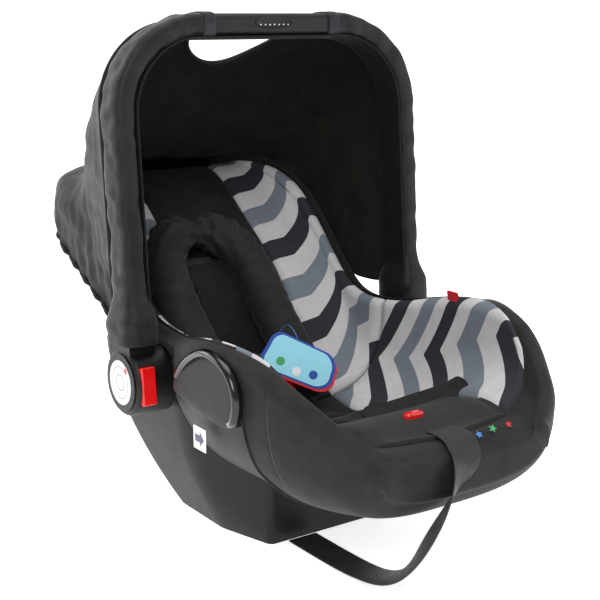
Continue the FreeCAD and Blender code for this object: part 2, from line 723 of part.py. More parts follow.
def webbing(label, x_middle, points, width, thick):
    """A flat band: its (y, z) line is straight runs joined by tangent arcs."""
    wire, radii = bent_line(points, x_middle)
    start, second = [Vector(x_middle, y + HUB_Y, z) for y, z in points[:2]]
    along = (second - start).normalize()
    across_band = Vector(1, 0, 0)
    up = across_band.cross(along)
    corners = [start + across_band * (sx * width / 2) + up * (sz * thick / 2)
               for sx, sz in ((-1, -1), (1, -1), (1, 1), (-1, 1))]
    section = Part.makePolygon(corners + corners[:1])
    shape = wire.makePipeShell([section], True, False, 2)
    print(label, "length %.0f" % wire.Length, "radii", ["%.0f" % r for r in radii],
          "volume ratio %.3f" % (shape.Volume / (width * thick * wire.Length)))
    return shaped(label, shape)


def bent_line(points, x_middle):
    """Runs between points, with an arc of 0.45 of the shorter run at each turn."""
    corners = [Vector(x_middle, y + HUB_Y, z) for y, z in points]
    edges, radii = [], []
    last = corners[0]
    for before, corner, after in zip(corners, corners[1:], corners[2:]):
        into = (corner - before).normalize()
        out = (after - corner).normalize()
        turn = into.getAngle(out)
        trim = 0.45 * min((corner - before).Length, (after - corner).Length)
        radius = trim / math.tan(turn / 2)
        start, end = corner - into * trim, corner + out * trim
        bisector = (out - into).normalize()
        centre = corner + bisector * (radius / math.cos(turn / 2))
        middle = centre - bisector * radius
        edges.append(Part.makeLine(last, start))
        edges.append(Part.Arc(start, middle, end).toShape())
        radii.append(radius)
        last = end
    edges.append(Part.makeLine(last, corners[-1]))
    return Part.Wire(edges), radii


STRAP_X = 25.5
SHOULDER_LINE = [(112, 303), (96, 290), (62, 248), (34, 205), (12, 177)]
for name, side in SIDES:
    webbing("shoulder_strap_" + name, SHIFT + side * STRAP_X, SHOULDER_LINE,
            D["webbing_width"], D["webbing_thick"])

BUCKLE_PLACE = at(SHIFT, -50, 142, Rotation(Vector(1, 0, 0), 34))
buckle_box = primitive("Box", "buckle_box", Length="#buckle_width", Width="#buckle_length",
                       Height="#buckle_thick")
buckle_box.Placement = Placement(Vector(-D["buckle_width"] / 2, 0, 0), Rotation())
DOC.recompute()
buckle_round = DOC.addObject("Part::Fillet", "buckle_round")
buckle_round.Base = buckle_box
buckle_round.Edges = [(i, 5.0, 5.0) for i in range(1, 13)]
well = primitive("Box", "buckle_well", Length="#buckle_button_width + 1",
                 Width="#buckle_button_length + 1", Height="#buckle_thick")
well.Placement = Placement(Vector(-D["buckle_button_width"] / 2 - 0.5, 9.5, 8.0), Rotation())
mouth = primitive("Box", "buckle_mouth", Length="#buckle_width - 8", Width="26",
                  Height="#tongue_thick + 1")
mouth.Placement = Placement(Vector(-D["buckle_width"] / 2 + 4.0, D["buckle_length"] - 22.0, 9.0),
                            Rotation())
hollow = boolean("Cut", "buckle_hollow", buckle_round, well)
keep("buckle_body", boolean("Cut", "buckle_body", hollow, mouth), BUCKLE_PLACE)
red = primitive("Box", "buckle_button", Length="#buckle_button_width",
                Width="#buckle_button_length", Height="8")
keep("buckle_button", red, BUCKLE_PLACE.multiply(
    Placement(Vector(-D["buckle_button_width"] / 2, 10.0, 13.0), Rotation())))

TONGUE_WIDTH = 26.0
TONGUE_LENGTH = 30.0
TONGUE_SLOT = (18.0, 3.0)
for name, side in SIDES:
    tongue = DOC.addObject("PartDesign::Body", "tongue_" + name)
    outline = sketch_on(tongue, "tongue_%s_outline" % name, "XY_Plane")
    add_rounded_rectangle(outline, 0, 0, TONGUE_WIDTH - 1.0, TONGUE_LENGTH, 3.0)
    add_rounded_rectangle(outline, 0, TONGUE_LENGTH / 2 - 6.0, TONGUE_SLOT[0], TONGUE_SLOT[1], 1.2)
    pad = tongue.newObject("PartDesign::Pad", "tongue_%s_pad" % name)
    pad.Profile = (outline, [""])
    pad.setExpression("Length", "Sizes.tongue_thick")
    tongue.Tip = pad
    keep("tongue_" + name, tongue, BUCKLE_PLACE.multiply(Placement(
        Vector(side * TONGUE_WIDTH / 2, D["buckle_length"] - 4.0, 9.5), Rotation())))

CROTCH_LINE = [(-100, 137.0), (-80, 138.5), (-56, 146.0)]
webbing("crotch_strap", SHIFT, CROTCH_LINE, D["webbing_width"], D["webbing_thick"])

ADJUSTER_PLACE = at(0, RELEASE_FRONT - 22.5, 131)
housing = primitive("Box", "adjuster_block", Length="#adjuster_width",
                    Width="#adjuster_length", Height="#adjuster_depth")
housing.Placement = Placement(Vector(-D["adjuster_width"] / 2, 0, 0), Rotation())
release_well = primitive("Box", "adjuster_well", Length="#release_width + 1",
                         Width="#release_length + 1", Height="#adjuster_depth")
release_well.Placement = Placement(Vector(-D["release_width"] / 2 - 0.5, 22.0, 14.0), Rotation())
keep("adjuster_housing", boolean("Cut", "adjuster_housing", housing, release_well),
     ADJUSTER_PLACE)


release = primitive("Box", "adjuster_button", Length="#release_width", Width="#release_length",
                    Height="#release_height")
RELEASE_LIFT = 19.0
keep("adjuster_button", release, ADJUSTER_PLACE.multiply(
    Placement(Vector(-D["release_width"] / 2, 22.5, RELEASE_LIFT), Rotation())))

yoke = DOC.addObject("PartDesign::Body", "harness_yoke")
YOKE_SIZE = (110.0, 24.0)
YOKE_CORNER = 5.0
YOKE_SLOT = (42.0, 5.0)
YOKE_SLOT_CORNER = 2.0
YOKE_SLOTS_X = (-30.0, 30.0)
yoke_outline = sketch_on(yoke, "harness_yoke_outline", "XY_Plane")
add_rounded_rectangle(yoke_outline, 0, 0, *YOKE_SIZE, YOKE_CORNER)
for slot_x in YOKE_SLOTS_X:
    add_rounded_rectangle(yoke_outline, slot_x, 0, *YOKE_SLOT, YOKE_SLOT_CORNER)
yoke_pad = yoke.newObject("PartDesign::Pad", "harness_yoke_pad")
yoke_pad.Profile = (yoke_outline, [""])
yoke_pad.setExpression("Length", "Sizes.tongue_thick")
yoke.Tip = yoke_pad
keep("harness_yoke", yoke, at(0, 188, 236, Rotation(Vector(1, 0, 0), 52)))


# ---------------------------------------------------------------- labels and tags

label_box = primitive("Box", "arrow_label", Length="#label_thick", Width="#label_side",
                      Height="#label_side")
keep("arrow_label", label_box, at(-190.6, -143, 147))

RIM_TAG_SIZE = (12.0, 18.0, 9.0)
rim_tag = DOC.addObject("Part::Box", "rim_tag")
rim_tag.Length = RIM_TAG_SIZE[0]
rim_tag.Width = RIM_TAG_SIZE[1]
rim_tag.Height = RIM_TAG_SIZE[2]
keep("rim_tag", rim_tag, at(165, -137, 268.5))

tag = DOC.addObject("PartDesign::Body", "swing_tag")
TAG_SIZE = (104.0, 56.0)
TAG_CORNER = 20.0
TAG_THICK = 1.6
tag_outline = sketch_on(tag, "swing_tag_outline", "XZ_Plane")
add_rounded_rectangle(tag_outline, 0, 0, *TAG_SIZE, TAG_CORNER)
tag_pad = tag.newObject("PartDesign::Pad", "swing_tag_pad")
tag_pad.Profile = (tag_outline, [""])
tag_pad.Length = TAG_THICK
tag.Tip = tag_pad
TAG_TURN = Rotation(Vector(0, 0, 1), -32).multiply(Rotation(Vector(1, 0, 0), -14)).multiply(
    Rotation(Vector(0, 1, 0), 24))
keep("swing_tag", tag, at(-16, -72, 232, TAG_TURN))


# ---------------------------------------------------------------- adjuster strap's free tail

TAIL_LINE = [
    (-302, 183.0), (-331, 184.5), (-358, 172.0), (-372, 144.0), (-372, 112.0),
    (-361, 82.0), (-343, 55.0), (-320, 32.0), (-292, 15.5), (-260, 6.5),
    (-227, 2.8), (-193, 1.6), (-160, 2.2), (-128, 1.5),
]
webbing("adjuster_strap", 0.0, TAIL_LINE, D["tail_width"], D["tail_thick"])


# ---------------------------------------------------------------- canopy

CANOPY_ROWS = [
    # foot and crown of each hoop from the hinge axis, half width, corner radius
    (30.0, 60.0, 58.0, 402.0, 212.0, 100.0),
    (44.0, 60.0, 150.0, 352.0, 200.0, 100.0),
    (60.0, 62.0, 204.0, 272.0, 188.0, 92.0),
    (77.0, 66.0, 250.0, 226.0, 179.0, 86.0),
    (98.0, 72.0, 294.0, 219.0, 174.5, 82.0),
]


def hoop(foot_y, foot_z, crown_y, crown_z, half, corner):
    """A closed band: up one side, over the crown and down, then back inside."""
    foot = Vector(0, foot_y + HUB_Y, foot_z + HUB_Z)
    rise = Vector(0, crown_y - foot_y, crown_z - foot_z)
    tall = rise.Length
    rise.normalize()

    def p(x, up):
        return Vector(x, 0, 0) + foot + rise * up

    edges = []
    k = math.sqrt(0.5)
    for inset, sign in ((0.0, 1), (D["canopy_thick"], -1)):
        w, t, c = half - inset, tall - inset, corner - inset
        left_arc = [p(-w, t - c), p(-w + c - c * k, t - c + c * k), p(-w + c, t)]
        right_arc = [p(w - c, t), p(w - c + c * k, t - c + c * k), p(w, t - c)]
        run = [Part.makeLine(p(-w, 0), left_arc[0]), Part.Arc(*left_arc).toShape(),
               Part.makeLine(left_arc[2], right_arc[0]), Part.Arc(*right_arc).toShape(),
               Part.makeLine(right_arc[2], p(w, 0))]
        edges += run if sign > 0 else list(reversed(run))
        if sign > 0:
            edges.append(Part.makeLine(p(w, 0), p(w - D["canopy_thick"], 0)))
    edges.append(Part.makeLine(p(-half + D["canopy_thick"], 0), p(-half, 0)))
    return Part.Wire(Part.__sortEdges__(edges))


hood = Part.makeLoft([hoop(*row) for row in CANOPY_ROWS], True, False)
shaped("canopy_hood", hood)


# ---------------------------------------------------------------- report and export

def export_all():
    DOC.recompute()
    failed = [o.Name for o in DOC.Objects if "Invalid" in o.State or "Error" in o.State]
    if failed:
        raise RuntimeError("these objects failed: %s" % failed)
    os.makedirs("parts", exist_ok=True)
    for label, obj in SUB_PARTS.items():
        shape = obj.Shape
        if shape.isNull() or not shape.isValid() or not shape.Solids:
            raise RuntimeError("%s has no valid solid" % label)
        shape.exportStep("parts/%s.step" % label)
        box = shape.BoundBox
        print("%-24s %9.0f mm3  x %7.1f %7.1f  y %7.1f %7.1f  z %7.1f %7.1f" % (
            label, shape.Volume, box.XMin, box.XMax, box.YMin, box.YMax, box.ZMin, box.ZMax))


export_all()
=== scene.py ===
"""Looks of the infant car seat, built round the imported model. Shapes are worked out in
millimetres with y counted from the handle's hinge axis, and placed in metres."""

import json
import math

import bmesh
import bpy
import numpy as np
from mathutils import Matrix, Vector, noise


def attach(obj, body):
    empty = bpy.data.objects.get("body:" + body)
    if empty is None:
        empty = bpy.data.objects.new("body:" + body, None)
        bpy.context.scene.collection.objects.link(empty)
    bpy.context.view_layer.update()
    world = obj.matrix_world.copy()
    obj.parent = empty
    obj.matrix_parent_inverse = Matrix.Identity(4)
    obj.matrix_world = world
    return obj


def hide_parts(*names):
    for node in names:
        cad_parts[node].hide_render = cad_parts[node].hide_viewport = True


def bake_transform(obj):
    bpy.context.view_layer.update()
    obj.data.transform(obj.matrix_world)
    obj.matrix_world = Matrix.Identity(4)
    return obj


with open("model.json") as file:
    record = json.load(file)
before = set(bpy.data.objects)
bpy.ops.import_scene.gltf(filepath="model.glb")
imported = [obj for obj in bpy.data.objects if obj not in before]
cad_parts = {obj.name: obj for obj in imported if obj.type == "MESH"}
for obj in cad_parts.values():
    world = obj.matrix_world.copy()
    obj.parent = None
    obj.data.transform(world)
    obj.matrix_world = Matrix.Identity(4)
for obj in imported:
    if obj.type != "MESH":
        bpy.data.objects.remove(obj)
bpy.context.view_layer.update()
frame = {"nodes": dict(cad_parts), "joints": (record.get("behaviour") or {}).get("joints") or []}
HINGE = np.array(frame["joints"][0]["pos_m"])
MM = 0.001
SIDES = (("left", -1), ("right", 1))


def place(points, hinge_height=0.0):
    """Millimetre points, y from the hinge axis, as metres in the row frame."""
    points = np.array(points, float) * MM
    points[..., 1] += HINGE[1]
    points[..., 2] += hinge_height
    return points


# ------------------------------------------------------------------ camera

def aim(obj, target):
    obj.rotation_euler = (Vector(target) - obj.location).to_track_quat("-Z", "Y").to_euler()


CAMERA_SPOT = (-0.8164, -1.1990, 0.6063)
CAMERA_TARGET = (0.0, -0.0302, 0.2719)
LENS_MM = 73.3
SENSOR_MM = 36.0
camera_data = bpy.data.cameras.new("camera")
camera_data.lens = LENS_MM
camera_data.sensor_width = SENSOR_MM
camera = bpy.data.objects.new("camera", camera_data)
bpy.context.scene.collection.objects.link(camera)
camera.location = CAMERA_SPOT
aim(camera, CAMERA_TARGET)
bpy.context.scene.camera = camera


# ------------------------------------------------------------------ materials

def rgb(hex_colour):
    """A hex display colour as linear RGBA."""
    parts = [int(hex_colour[i:i + 2], 16) / 255 for i in (0, 2, 4)]
    return [p / 12.92 if p <= 0.04045 else ((p + 0.055) / 1.055) ** 2.4 for p in parts] + [1.0]


class Shader:
    """A Principled material with short calls for the nodes in front of it."""

    def __init__(self, name, **values):
        self.material = bpy.data.materials.new(name)
        self.material.use_nodes = True
        self.tree = self.material.node_tree
        self.main = self.tree.nodes["Principled BSDF"]
        self.coordinates = self.add("ShaderNodeTexCoord").outputs["Object"]
        for key, value in values.items():
            self.main.inputs[key.replace("_", " ")].default_value = value

    def add(self, kind, **settings):
        node = self.tree.nodes.new(kind)
        for key, value in settings.items():
            setattr(node, key, value)
        return node

    def link(self, source, target):
        self.tree.links.new(source, target)

    def noise(self, size, detail=3.0, stretch=None, roughness=0.55):
        """Noise whose features are about size metres across."""
        node = self.add("ShaderNodeTexNoise")
        node.inputs["Scale"].default_value = 1.0 / size
        node.inputs["Detail"].default_value = detail
        node.inputs["Roughness"].default_value = roughness
        source = self.coordinates
        if stretch is not None:
            mapping = self.add("ShaderNodeMapping")
            mapping.inputs["Scale"].default_value = stretch
            self.link(source, mapping.inputs["Vector"])
            source = mapping.outputs["Vector"]
        self.link(source, node.inputs["Vector"])
        return node.outputs["Fac"]

    def math(self, operation, first, second=0.0):
        node = self.add("ShaderNodeMath", operation=operation)
        for value, socket in zip((first, second), node.inputs):
            if isinstance(value, (int, float)):
                socket.default_value = value
            else:
                self.link(value, socket)
        return node.outputs[0]

    def ramp(self, source, stops, constant=False):
        node = self.add("ShaderNodeValToRGB")
        if constant:
            node.color_ramp.interpolation = "CONSTANT"
        elements = node.color_ramp.elements
        while len(elements) < len(stops):
            elements.new(0.5)
        for element, (position, colour) in zip(elements, stops):
            element.position = position
            element.color = colour
        self.link(source, node.inputs["Fac"])
        return node.outputs["Color"]

    def mix(self, factor, first, second, blend="MIX"):
        node = self.add("ShaderNodeMix", data_type="RGBA", blend_type=blend)
        for value, socket in ((factor, node.inputs[0]), (first, node.inputs[6]),
                              (second, node.inputs[7])):
            if isinstance(value, (int, float, list)):
                socket.default_value = value
            else:
                self.link(value, socket)
        return node.outputs[2]

    def span(self, source, low, high):
        node = self.add("ShaderNodeMapRange")
        node.inputs["To Min"].default_value = low
        node.inputs["To Max"].default_value = high
        self.link(source, node.inputs["Value"])
        return node.outputs["Result"]

    def colour(self, source):
        self.link(source, self.main.inputs["Base Color"])

    def roughness(self, source, low, high):
        self.link(self.span(source, low, high), self.main.inputs["Roughness"])

    def bump(self, *layers):
        """Layers of (height output, depth in metres), the finest last."""
        normal = None
        for height, depth in layers:
            node = self.add("ShaderNodeBump")
            node.inputs["Distance"].default_value = depth
            node.inputs["Strength"].default_value = 1.0
            self.link(height, node.inputs["Height"])
            if normal is not None:
                self.link(normal, node.inputs["Normal"])
            normal = node.outputs["Normal"]
        self.link(normal, self.main.inputs["Normal"])


def weave_height(shader, period):
    """Uneven threads in three directions, so that none lines up on a curved surface."""
    lengthwise = shader.noise(period, 1.0, stretch=(0.3, 1.0, 1.0))
    crosswise = shader.noise(period, 1.0, stretch=(1.0, 0.3, 1.0))
    upright = shader.noise(period, 1.0, stretch=(1.0, 1.0, 0.3))
    return shader.math("ADD", shader.math("MULTIPLY", lengthwise, crosswise),
                       shader.math("MULTIPLY", upright, 0.5))


def fabric(name, dark, light, period=0.0011, depth=0.00012, roughness=(0.72, 0.95),
           sheen=0.05, crumple=0.0008):
    """Woven cloth: two-tone threads, faint mottling, a soft sheen and fine creases."""
    shader = Shader(name, Sheen_Weight=sheen, Sheen_Roughness=0.4, Specular_IOR_Level=0.22)
    threads = weave_height(shader, period)
    mottled = shader.math("MULTIPLY", shader.noise(0.03), shader.math("ADD", threads, 0.55))
    shader.colour(shader.ramp(mottled, [(0.25, rgb(dark)), (0.75, rgb(light))]))
    shader.roughness(shader.noise(0.012), *roughness)
    shader.bump((shader.noise(0.028, 4.0), crumple), (threads, depth))
    return shader.material


def chevron_fabric(name):
    """Printed zigzag cloth: the UV's first number counts repeats of four bands."""
    shader = Shader(name, Sheen_Weight=0.03, Sheen_Roughness=0.5, Specular_IOR_Level=0.2)
    uv = shader.add("ShaderNodeUVMap", uv_map="Print").outputs["UV"]
    split = shader.add("ShaderNodeSeparateXYZ")
    shader.link(uv, split.inputs[0])
    wobble = shader.math("MULTIPLY", shader.math("SUBTRACT", shader.noise(0.02), 0.5), 0.004)
    along = shader.math("FRACT", shader.math("ADD", split.outputs[0], wobble))
    navy, pale, blue = rgb("33333b"), rgb("d6d3d5"), rgb("7d858f")
    bands = shader.ramp(along, [(0.0, navy), (0.25, pale), (0.5, blue), (0.75, pale)], True)
    threads = weave_height(shader, 0.0009)
    shade = shader.ramp(shader.math("MULTIPLY", shader.noise(0.03), threads),
                        [(0.1, rgb("d8d8d8")), (0.6, rgb("ffffff"))])
    shader.colour(shader.mix(1.0, bands, shade, "MULTIPLY"))
    shader.roughness(shader.noise(0.015), 0.7, 0.9)
    shader.bump((shader.noise(0.03), 0.0006), (threads, 0.0001))
    return shader.material


def plastic(name, base, light, roughness=(0.25, 0.4), grain=0.0009, depth=0.00002, coat=0.0,
            scuff=0.0):
    """Moulded plastic with a fine grain and slightly uneven gloss."""
    shader = Shader(name, Coat_Weight=coat, Coat_Roughness=0.12, Specular_IOR_Level=0.3)
    shader.colour(shader.ramp(shader.noise(0.06), [(0.3, rgb(base)), (0.75, rgb(light))]))
    uneven = shader.noise(0.02, 5.0)
    if scuff:
        scratches = shader.noise(0.004, 6.0, stretch=(1.0, 6.0, 1.0))
        uneven = shader.math("ADD", uneven, shader.math("MULTIPLY", scratches, scuff))
    shader.roughness(uneven, *roughness)
    shader.bump((shader.noise(grain, 2.0), depth))
    return shader.material


def hub_sticker_material():
    """A white disc with a plain printed ring and one red dot by its edge."""
    shader = Shader("hub_sticker", Roughness=0.4, Coat_Weight=0.3, Coat_Roughness=0.1)
    split = shader.add("ShaderNodeSeparateXYZ")
    shader.link(shader.coordinates, split.inputs[0])

    def distance(y, z):
        dy = shader.math("SUBTRACT", split.outputs[1], y)
        dz = shader.math("SUBTRACT", split.outputs[2], z)
        return shader.math("SQRT", shader.math("ADD", shader.math("MULTIPLY", dy, dy),
                                               shader.math("MULTIPLY", dz, dz)))

    from_middle = distance(float(HINGE[1]), float(HINGE[2]))
    paper, ink, red = rgb("cfcfd2"), rgb("8a8c92"), rgb("c81e20")
    scaled = shader.math("MULTIPLY", from_middle, 1.0 / 0.030)
    ring = shader.ramp(scaled, [(0.0, paper), (0.28, ink), (0.33, paper), (0.6, ink),
                                (0.635, paper), (0.83, rgb("c9c9cd"))], True)
    dot = shader.math("LESS_THAN", distance(float(HINGE[1]) - 0.014, float(HINGE[2]) + 0.0165),
                      0.0035)
    faded = shader.ramp(shader.noise(0.01), [(0.3, rgb("f2f2f2")), (0.7, rgb("ffffff"))])
    shader.colour(shader.mix(1.0, shader.mix(dot, ring, red), faded, "MULTIPLY"))
    shader.bump((shader.noise(0.004), 0.00003))
    return shader.material


def webbing_material(name, dark, light):
    """Ribbed flat webbing with a fine twill."""
    shader = Shader(name, Sheen_Weight=0.05, Sheen_Roughness=0.35, Specular_IOR_Level=0.5)
    uv = shader.add("ShaderNodeUVMap", uv_map="Print").outputs["UV"]
    split = shader.add("ShaderNodeSeparateXYZ")
    shader.link(uv, split.inputs[0])
    ribs = shader.math("SINE", shader.math("MULTIPLY", split.outputs[1], 2 * math.pi / 0.0028))
    twill = shader.math("SINE", shader.math("MULTIPLY", split.outputs[0], 2 * math.pi / 0.0012))
    height = shader.math("MULTIPLY", shader.math("ADD", ribs, 1.4), shader.math("ADD", twill, 2.0))
    shader.colour(shader.ramp(shader.math("MULTIPLY", height, shader.noise(0.02)),
                              [(0.2, rgb(dark)), (2.0, rgb(light))]))
    shader.roughness(shader.noise(0.01), 0.28, 0.42)
    shader.bump((shader.noise(0.05), 0.0008), (height, 0.00012))
    return shader.material


MATERIALS = {
    "chevron": chevron_fabric("chevron_print"),
    "charcoal": fabric("charcoal_cover", "171715", "252523", 0.0012, 0.0001, (0.62, 0.85), 0.08),
    "back": fabric("back_cloth", "171719", "252526", 0.0012, 0.0001, (0.7, 0.9), 0.04),
    "insert": fabric("insert_cloth", "151515", "222220", 0.0012, 0.0001, (0.6, 0.85), 0.06,
                     0.0012),
    "insert_flat": fabric("insert_mesh", "0d0d0e", "171718", 0.0012, 0.0001, (0.75, 0.95), 0.03),
    "canopy": fabric("canopy_cloth", "080808", "121211", 0.0012, 0.00012, (0.5, 0.75), 0.08,
                     0.0018),
    "lining": fabric("canopy_lining", "0b0b09", "171712", 0.0016, 0.0002, (0.7, 0.95), 0.03,
                     0.0010),
    "sleeve": fabric("sleeve_cloth", "0c0c0d", "1a1a1b", 0.0012, 0.00012, (0.42, 0.65), 0.12,
                     0.0018),
    "binding": fabric("black_binding", "060607", "101011", 0.0014, 0.00015, (0.5, 0.7), 0.05),
    "cuff": fabric("elastic_cuff", "17181b", "303238", 0.0020, 0.0005, (0.7, 0.9), 0.1),
    # the slight olive tint of the two shell colours is painted light: the olive cast the lighting
    # gave the black plastic
    "shell": plastic("shell_plastic", "060706", "0e0f0c", (0.4, 0.55), 0.0012, 0.00005,
                     scuff=0.2),
    "gloss": plastic("gloss_plastic", "0a0a0b", "121214", (0.12, 0.24), coat=0.4),
    "satin": plastic("satin_plastic", "070708", "0f0f10", (0.35, 0.5), 0.0008, 0.00004),
    "grip": plastic("grip_rubber", "0b0b0c", "171718", (0.4, 0.6), 0.0012, 0.00010),
    "red": plastic("red_plastic", "c4090c", "dc1a1a", (0.12, 0.25), coat=0.6),
    "steel": plastic("bolt_steel", "8d9094", "a7aaae", (0.2, 0.35)),
    "white": plastic("white_label", "dededf", "ececec", (0.4, 0.55)),
    "ink": plastic("label_ink", "5d5a70", "6b6880", (0.45, 0.6)),
    "ribbon": fabric("red_ribbon", "b5121a", "d8272c", 0.0009, 0.0001, (0.5, 0.7), 0.3),
    "tag_face": plastic("tag_face", "8fd3e6", "9fdcec", (0.25, 0.4)),
    "tag_edge": plastic("tag_edge", "27479c", "3056ad", (0.25, 0.4)),
    "tag_back": plastic("tag_back", "d3232b", "dd333b", (0.3, 0.45)),
    "thread_blue": plastic("blue_thread", "3f78c0", "4c86cc", (0.4, 0.5)),
    "thread_green": plastic("green_thread", "3f9a62", "4aa86e", (0.4, 0.5)),
    "thread_red": plastic("red_thread", "c22a2e", "cc3a3c", (0.4, 0.5)),
    "webbing": webbing_material("black_webbing", "030303", "0a0a0b"),
    "sticker": hub_sticker_material(),
}
MATERIALS["steel"].node_tree.nodes["Principled BSDF"].inputs["Metallic"].default_value = 1.0


# ------------------------------------------------------------------ mesh helpers

def build(name, points, faces, body, material, slot=None, print_uv=None, replaces=(),
          face_material=None, smooth=True):
    """A mesh piece from metre points, riding on a body unless body is None."""
    mesh = bpy.data.meshes.new(name)
    mesh.from_pydata(np.asarray(points).reshape(-1, 3).tolist(), [], faces)
    for key in ([material] if isinstance(material, str) else material):
        mesh.materials.append(MATERIALS[key])
    if print_uv is not None:
        layer = mesh.uv_layers.new(name="Print")
        corners = np.zeros(len(mesh.loops), int)
        mesh.loops.foreach_get("vertex_index", corners)
        layer.data.foreach_set("uv", np.asarray(print_uv, float).reshape(-1, 2)[corners].ravel())
    if face_material is not None:
        mesh.polygons.foreach_set("material_index", np.asarray(face_material, np.int32))
    mesh.polygons.foreach_set("use_smooth", [smooth] * len(mesh.polygons))
    shape = bmesh.new()
    shape.from_mesh(mesh)
    bmesh.ops.recalc_face_normals(shape, faces=shape.faces)
    shape.to_mesh(mesh)
    shape.free()
    obj = bpy.data.objects.new(name, mesh)
    bpy.context.scene.collection.objects.link(obj)
    if body is not None:
        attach(obj, body)
    if replaces:
        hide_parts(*replaces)
    return obj


def grid_faces(rows, columns, start=0, around=False):
    """Quads over a grid of points numbered row by row."""
    faces = []
    last = columns if around else columns - 1
    for i in range(rows - 1):
        for j in range(last):
            k = (j + 1) % columns
            faces.append((start + i * columns + j, start + i * columns + k,
                          start + (i + 1) * columns + k, start + (i + 1) * columns + j))
    return faces


def slab(front, back):
    """Points and faces of a closed sheet between two grids of the same size."""
    rows, columns = front.shape[:2]
    count = rows * columns
    faces = grid_faces(rows, columns)
    faces += [tuple(reversed(face)) for face in grid_faces(rows, columns, count)]
    edge = [(0, j) for j in range(columns)]
    edge += [(i, columns - 1) for i in range(1, rows)]
    edge += [(rows - 1, j) for j in range(columns - 2, -1, -1)]
    edge += [(i, 0) for i in range(rows - 2, 0, -1)]
    ring = [i * columns + j for i, j in edge]
    for a, b in zip(ring, ring[1:] + ring[:1]):
        faces.append((b, a, a + count, b + count))
    return np.concatenate([front.reshape(-1, 3), back.reshape(-1, 3)]), faces


def grid_normals(grid):
    """Unit normals of a grid of points, by its neighbours."""
    along = np.gradient(grid, axis=0)
    across = np.gradient(grid, axis=1)
    normal = np.cross(along, across)
    return normal / np.maximum(np.linalg.norm(normal, axis=2, keepdims=True), 1e-9)


def outward_normals(grid, spot, axis, sign=1):
    """Unit normals of a grid, turned so that the one at spot points along sign on an axis."""
    normal = grid_normals(grid)
    return normal if sign * normal[spot][axis] >= 0 else -normal


def circle(count):
    """Angles evenly spaced round a full turn."""
    return np.linspace(0, 2 * math.pi, count, endpoint=False)


def rings(sections, cap=True):
    """Points and faces of a tube through closed rings of points."""
    count, size = sections.shape[:2]
    faces = grid_faces(count, size, around=True)
    if cap:
        faces.append(tuple(range(size)))
        faces.append(tuple(reversed(range((count - 1) * size, count * size))))
    return sections.reshape(-1, 3), faces


def run_length(line):
    """Distance along a line of points from its start to each of them."""
    return np.concatenate([[0], np.cumsum(np.linalg.norm(np.diff(line, axis=0), axis=1))])


def smooth_line(points, count):
    """Evenly spaced points on a natural spline through the given ones."""
    points = np.asarray(points, float)
    knots = run_length(points)
    fine = np.linspace(0, knots[-1], count * 4)
    dense = np.stack([natural_spline(knots, points[:, k], fine) for k in range(3)], 1)
    length = run_length(dense)
    even = np.linspace(0, length[-1], count)
    return np.stack([np.interp(even, length, dense[:, k]) for k in range(3)], 1)


def natural_spline(x, y, at):
    """Values at the given places of the natural cubic spline through (x, y)."""
    x, y, at = np.asarray(x, float), np.asarray(y, float), np.asarray(at, float)
    n = len(x)
    step = np.diff(x)
    matrix = np.eye(n)
    right = np.zeros(n)
    for i in range(1, n - 1):
        matrix[i, i - 1:i + 2] = step[i - 1], 2 * (step[i - 1] + step[i]), step[i]
        right[i] = 6 * ((y[i + 1] - y[i]) / step[i] - (y[i] - y[i - 1]) / step[i - 1])
    bend = np.linalg.solve(matrix, right)
    k = np.clip(np.searchsorted(x, at) - 1, 0, n - 2)
    before, after = at - x[k], x[k + 1] - at
    return ((bend[k] * after ** 3 + bend[k + 1] * before ** 3) / (6 * step[k])
            + (y[k] / step[k] - bend[k] * step[k] / 6) * after
            + (y[k + 1] / step[k] - bend[k + 1] * step[k] / 6) * before)


def tangents(line):
    """Unit directions along a line of points."""
    tangent = np.gradient(line, axis=0)
    return tangent / np.linalg.norm(tangent, axis=1, keepdims=True)


def sweep_frames(line, side_hint):
    """Tangent, side and up directions along a line of points."""
    tangent = tangents(line)
    up = np.cross(tangent, np.broadcast_to(side_hint, tangent.shape))
    up /= np.linalg.norm(up, axis=1, keepdims=True)
    side = np.cross(up, tangent)
    return tangent, side, up


def tube(name, line, radius, body, material, side_hint=(1.0, 0.0, 0.0), sides=10, slot=None):
    """A round tube along a line in metres; radius may change along it."""
    line = np.asarray(line, float)
    _, side, up = sweep_frames(line, side_hint)
    radius = np.broadcast_to(radius, len(line))
    turn = circle(sides)
    sections = (line[:, None] + radius[:, None, None]
                * (side[:, None] * np.cos(turn)[None, :, None]
                   + up[:, None] * np.sin(turn)[None, :, None]))
    points, faces = rings(sections)
    return build(name, points, faces, body, material, slot)


def ribbon(name, line, width, thick, body, material, slot=None, replaces=(), side_hint=(1, 0, 0),
           curl=0.0, uv=True, ends=0.0):
    """A flat band along a line in metres, with rounded edges and a slight curl across."""
    line = np.asarray(line, float)
    _, side, up = sweep_frames(line, side_hint)
    across = np.array([-.5, -.49, -.46, -.25, 0, .25, .46, .49, .5, .49, .46, .25, 0, -.25, -.46,
                       -.49])
    raised = np.array([0, .35, .5, .5, .5, .5, .5, .35, 0, -.35, -.5, -.5, -.5, -.5, -.5, -.35])
    length = run_length(line)
    widths = np.full(len(line), width)
    if ends:
        for near in (length, length[-1] - length):
            inside = np.clip(near / ends, 0, 1)
            widths = widths * np.sqrt(np.clip(1 - (1 - inside) ** 2, 0.02, 1))
    sections = (line[:, None] + side[:, None] * (across[None, :, None] * widths[:, None, None])
                + up[:, None] * (raised[None, :, None] * thick
                                 + curl * (across[None, :, None] * 2) ** 2))
    points, faces = rings(sections)
    print_uv = None
    if uv:
        print_uv = np.stack(np.broadcast_arrays(length[:, None], across[None] * width), -1)
    return build(name, points, faces, body, material, slot, print_uv, replaces)


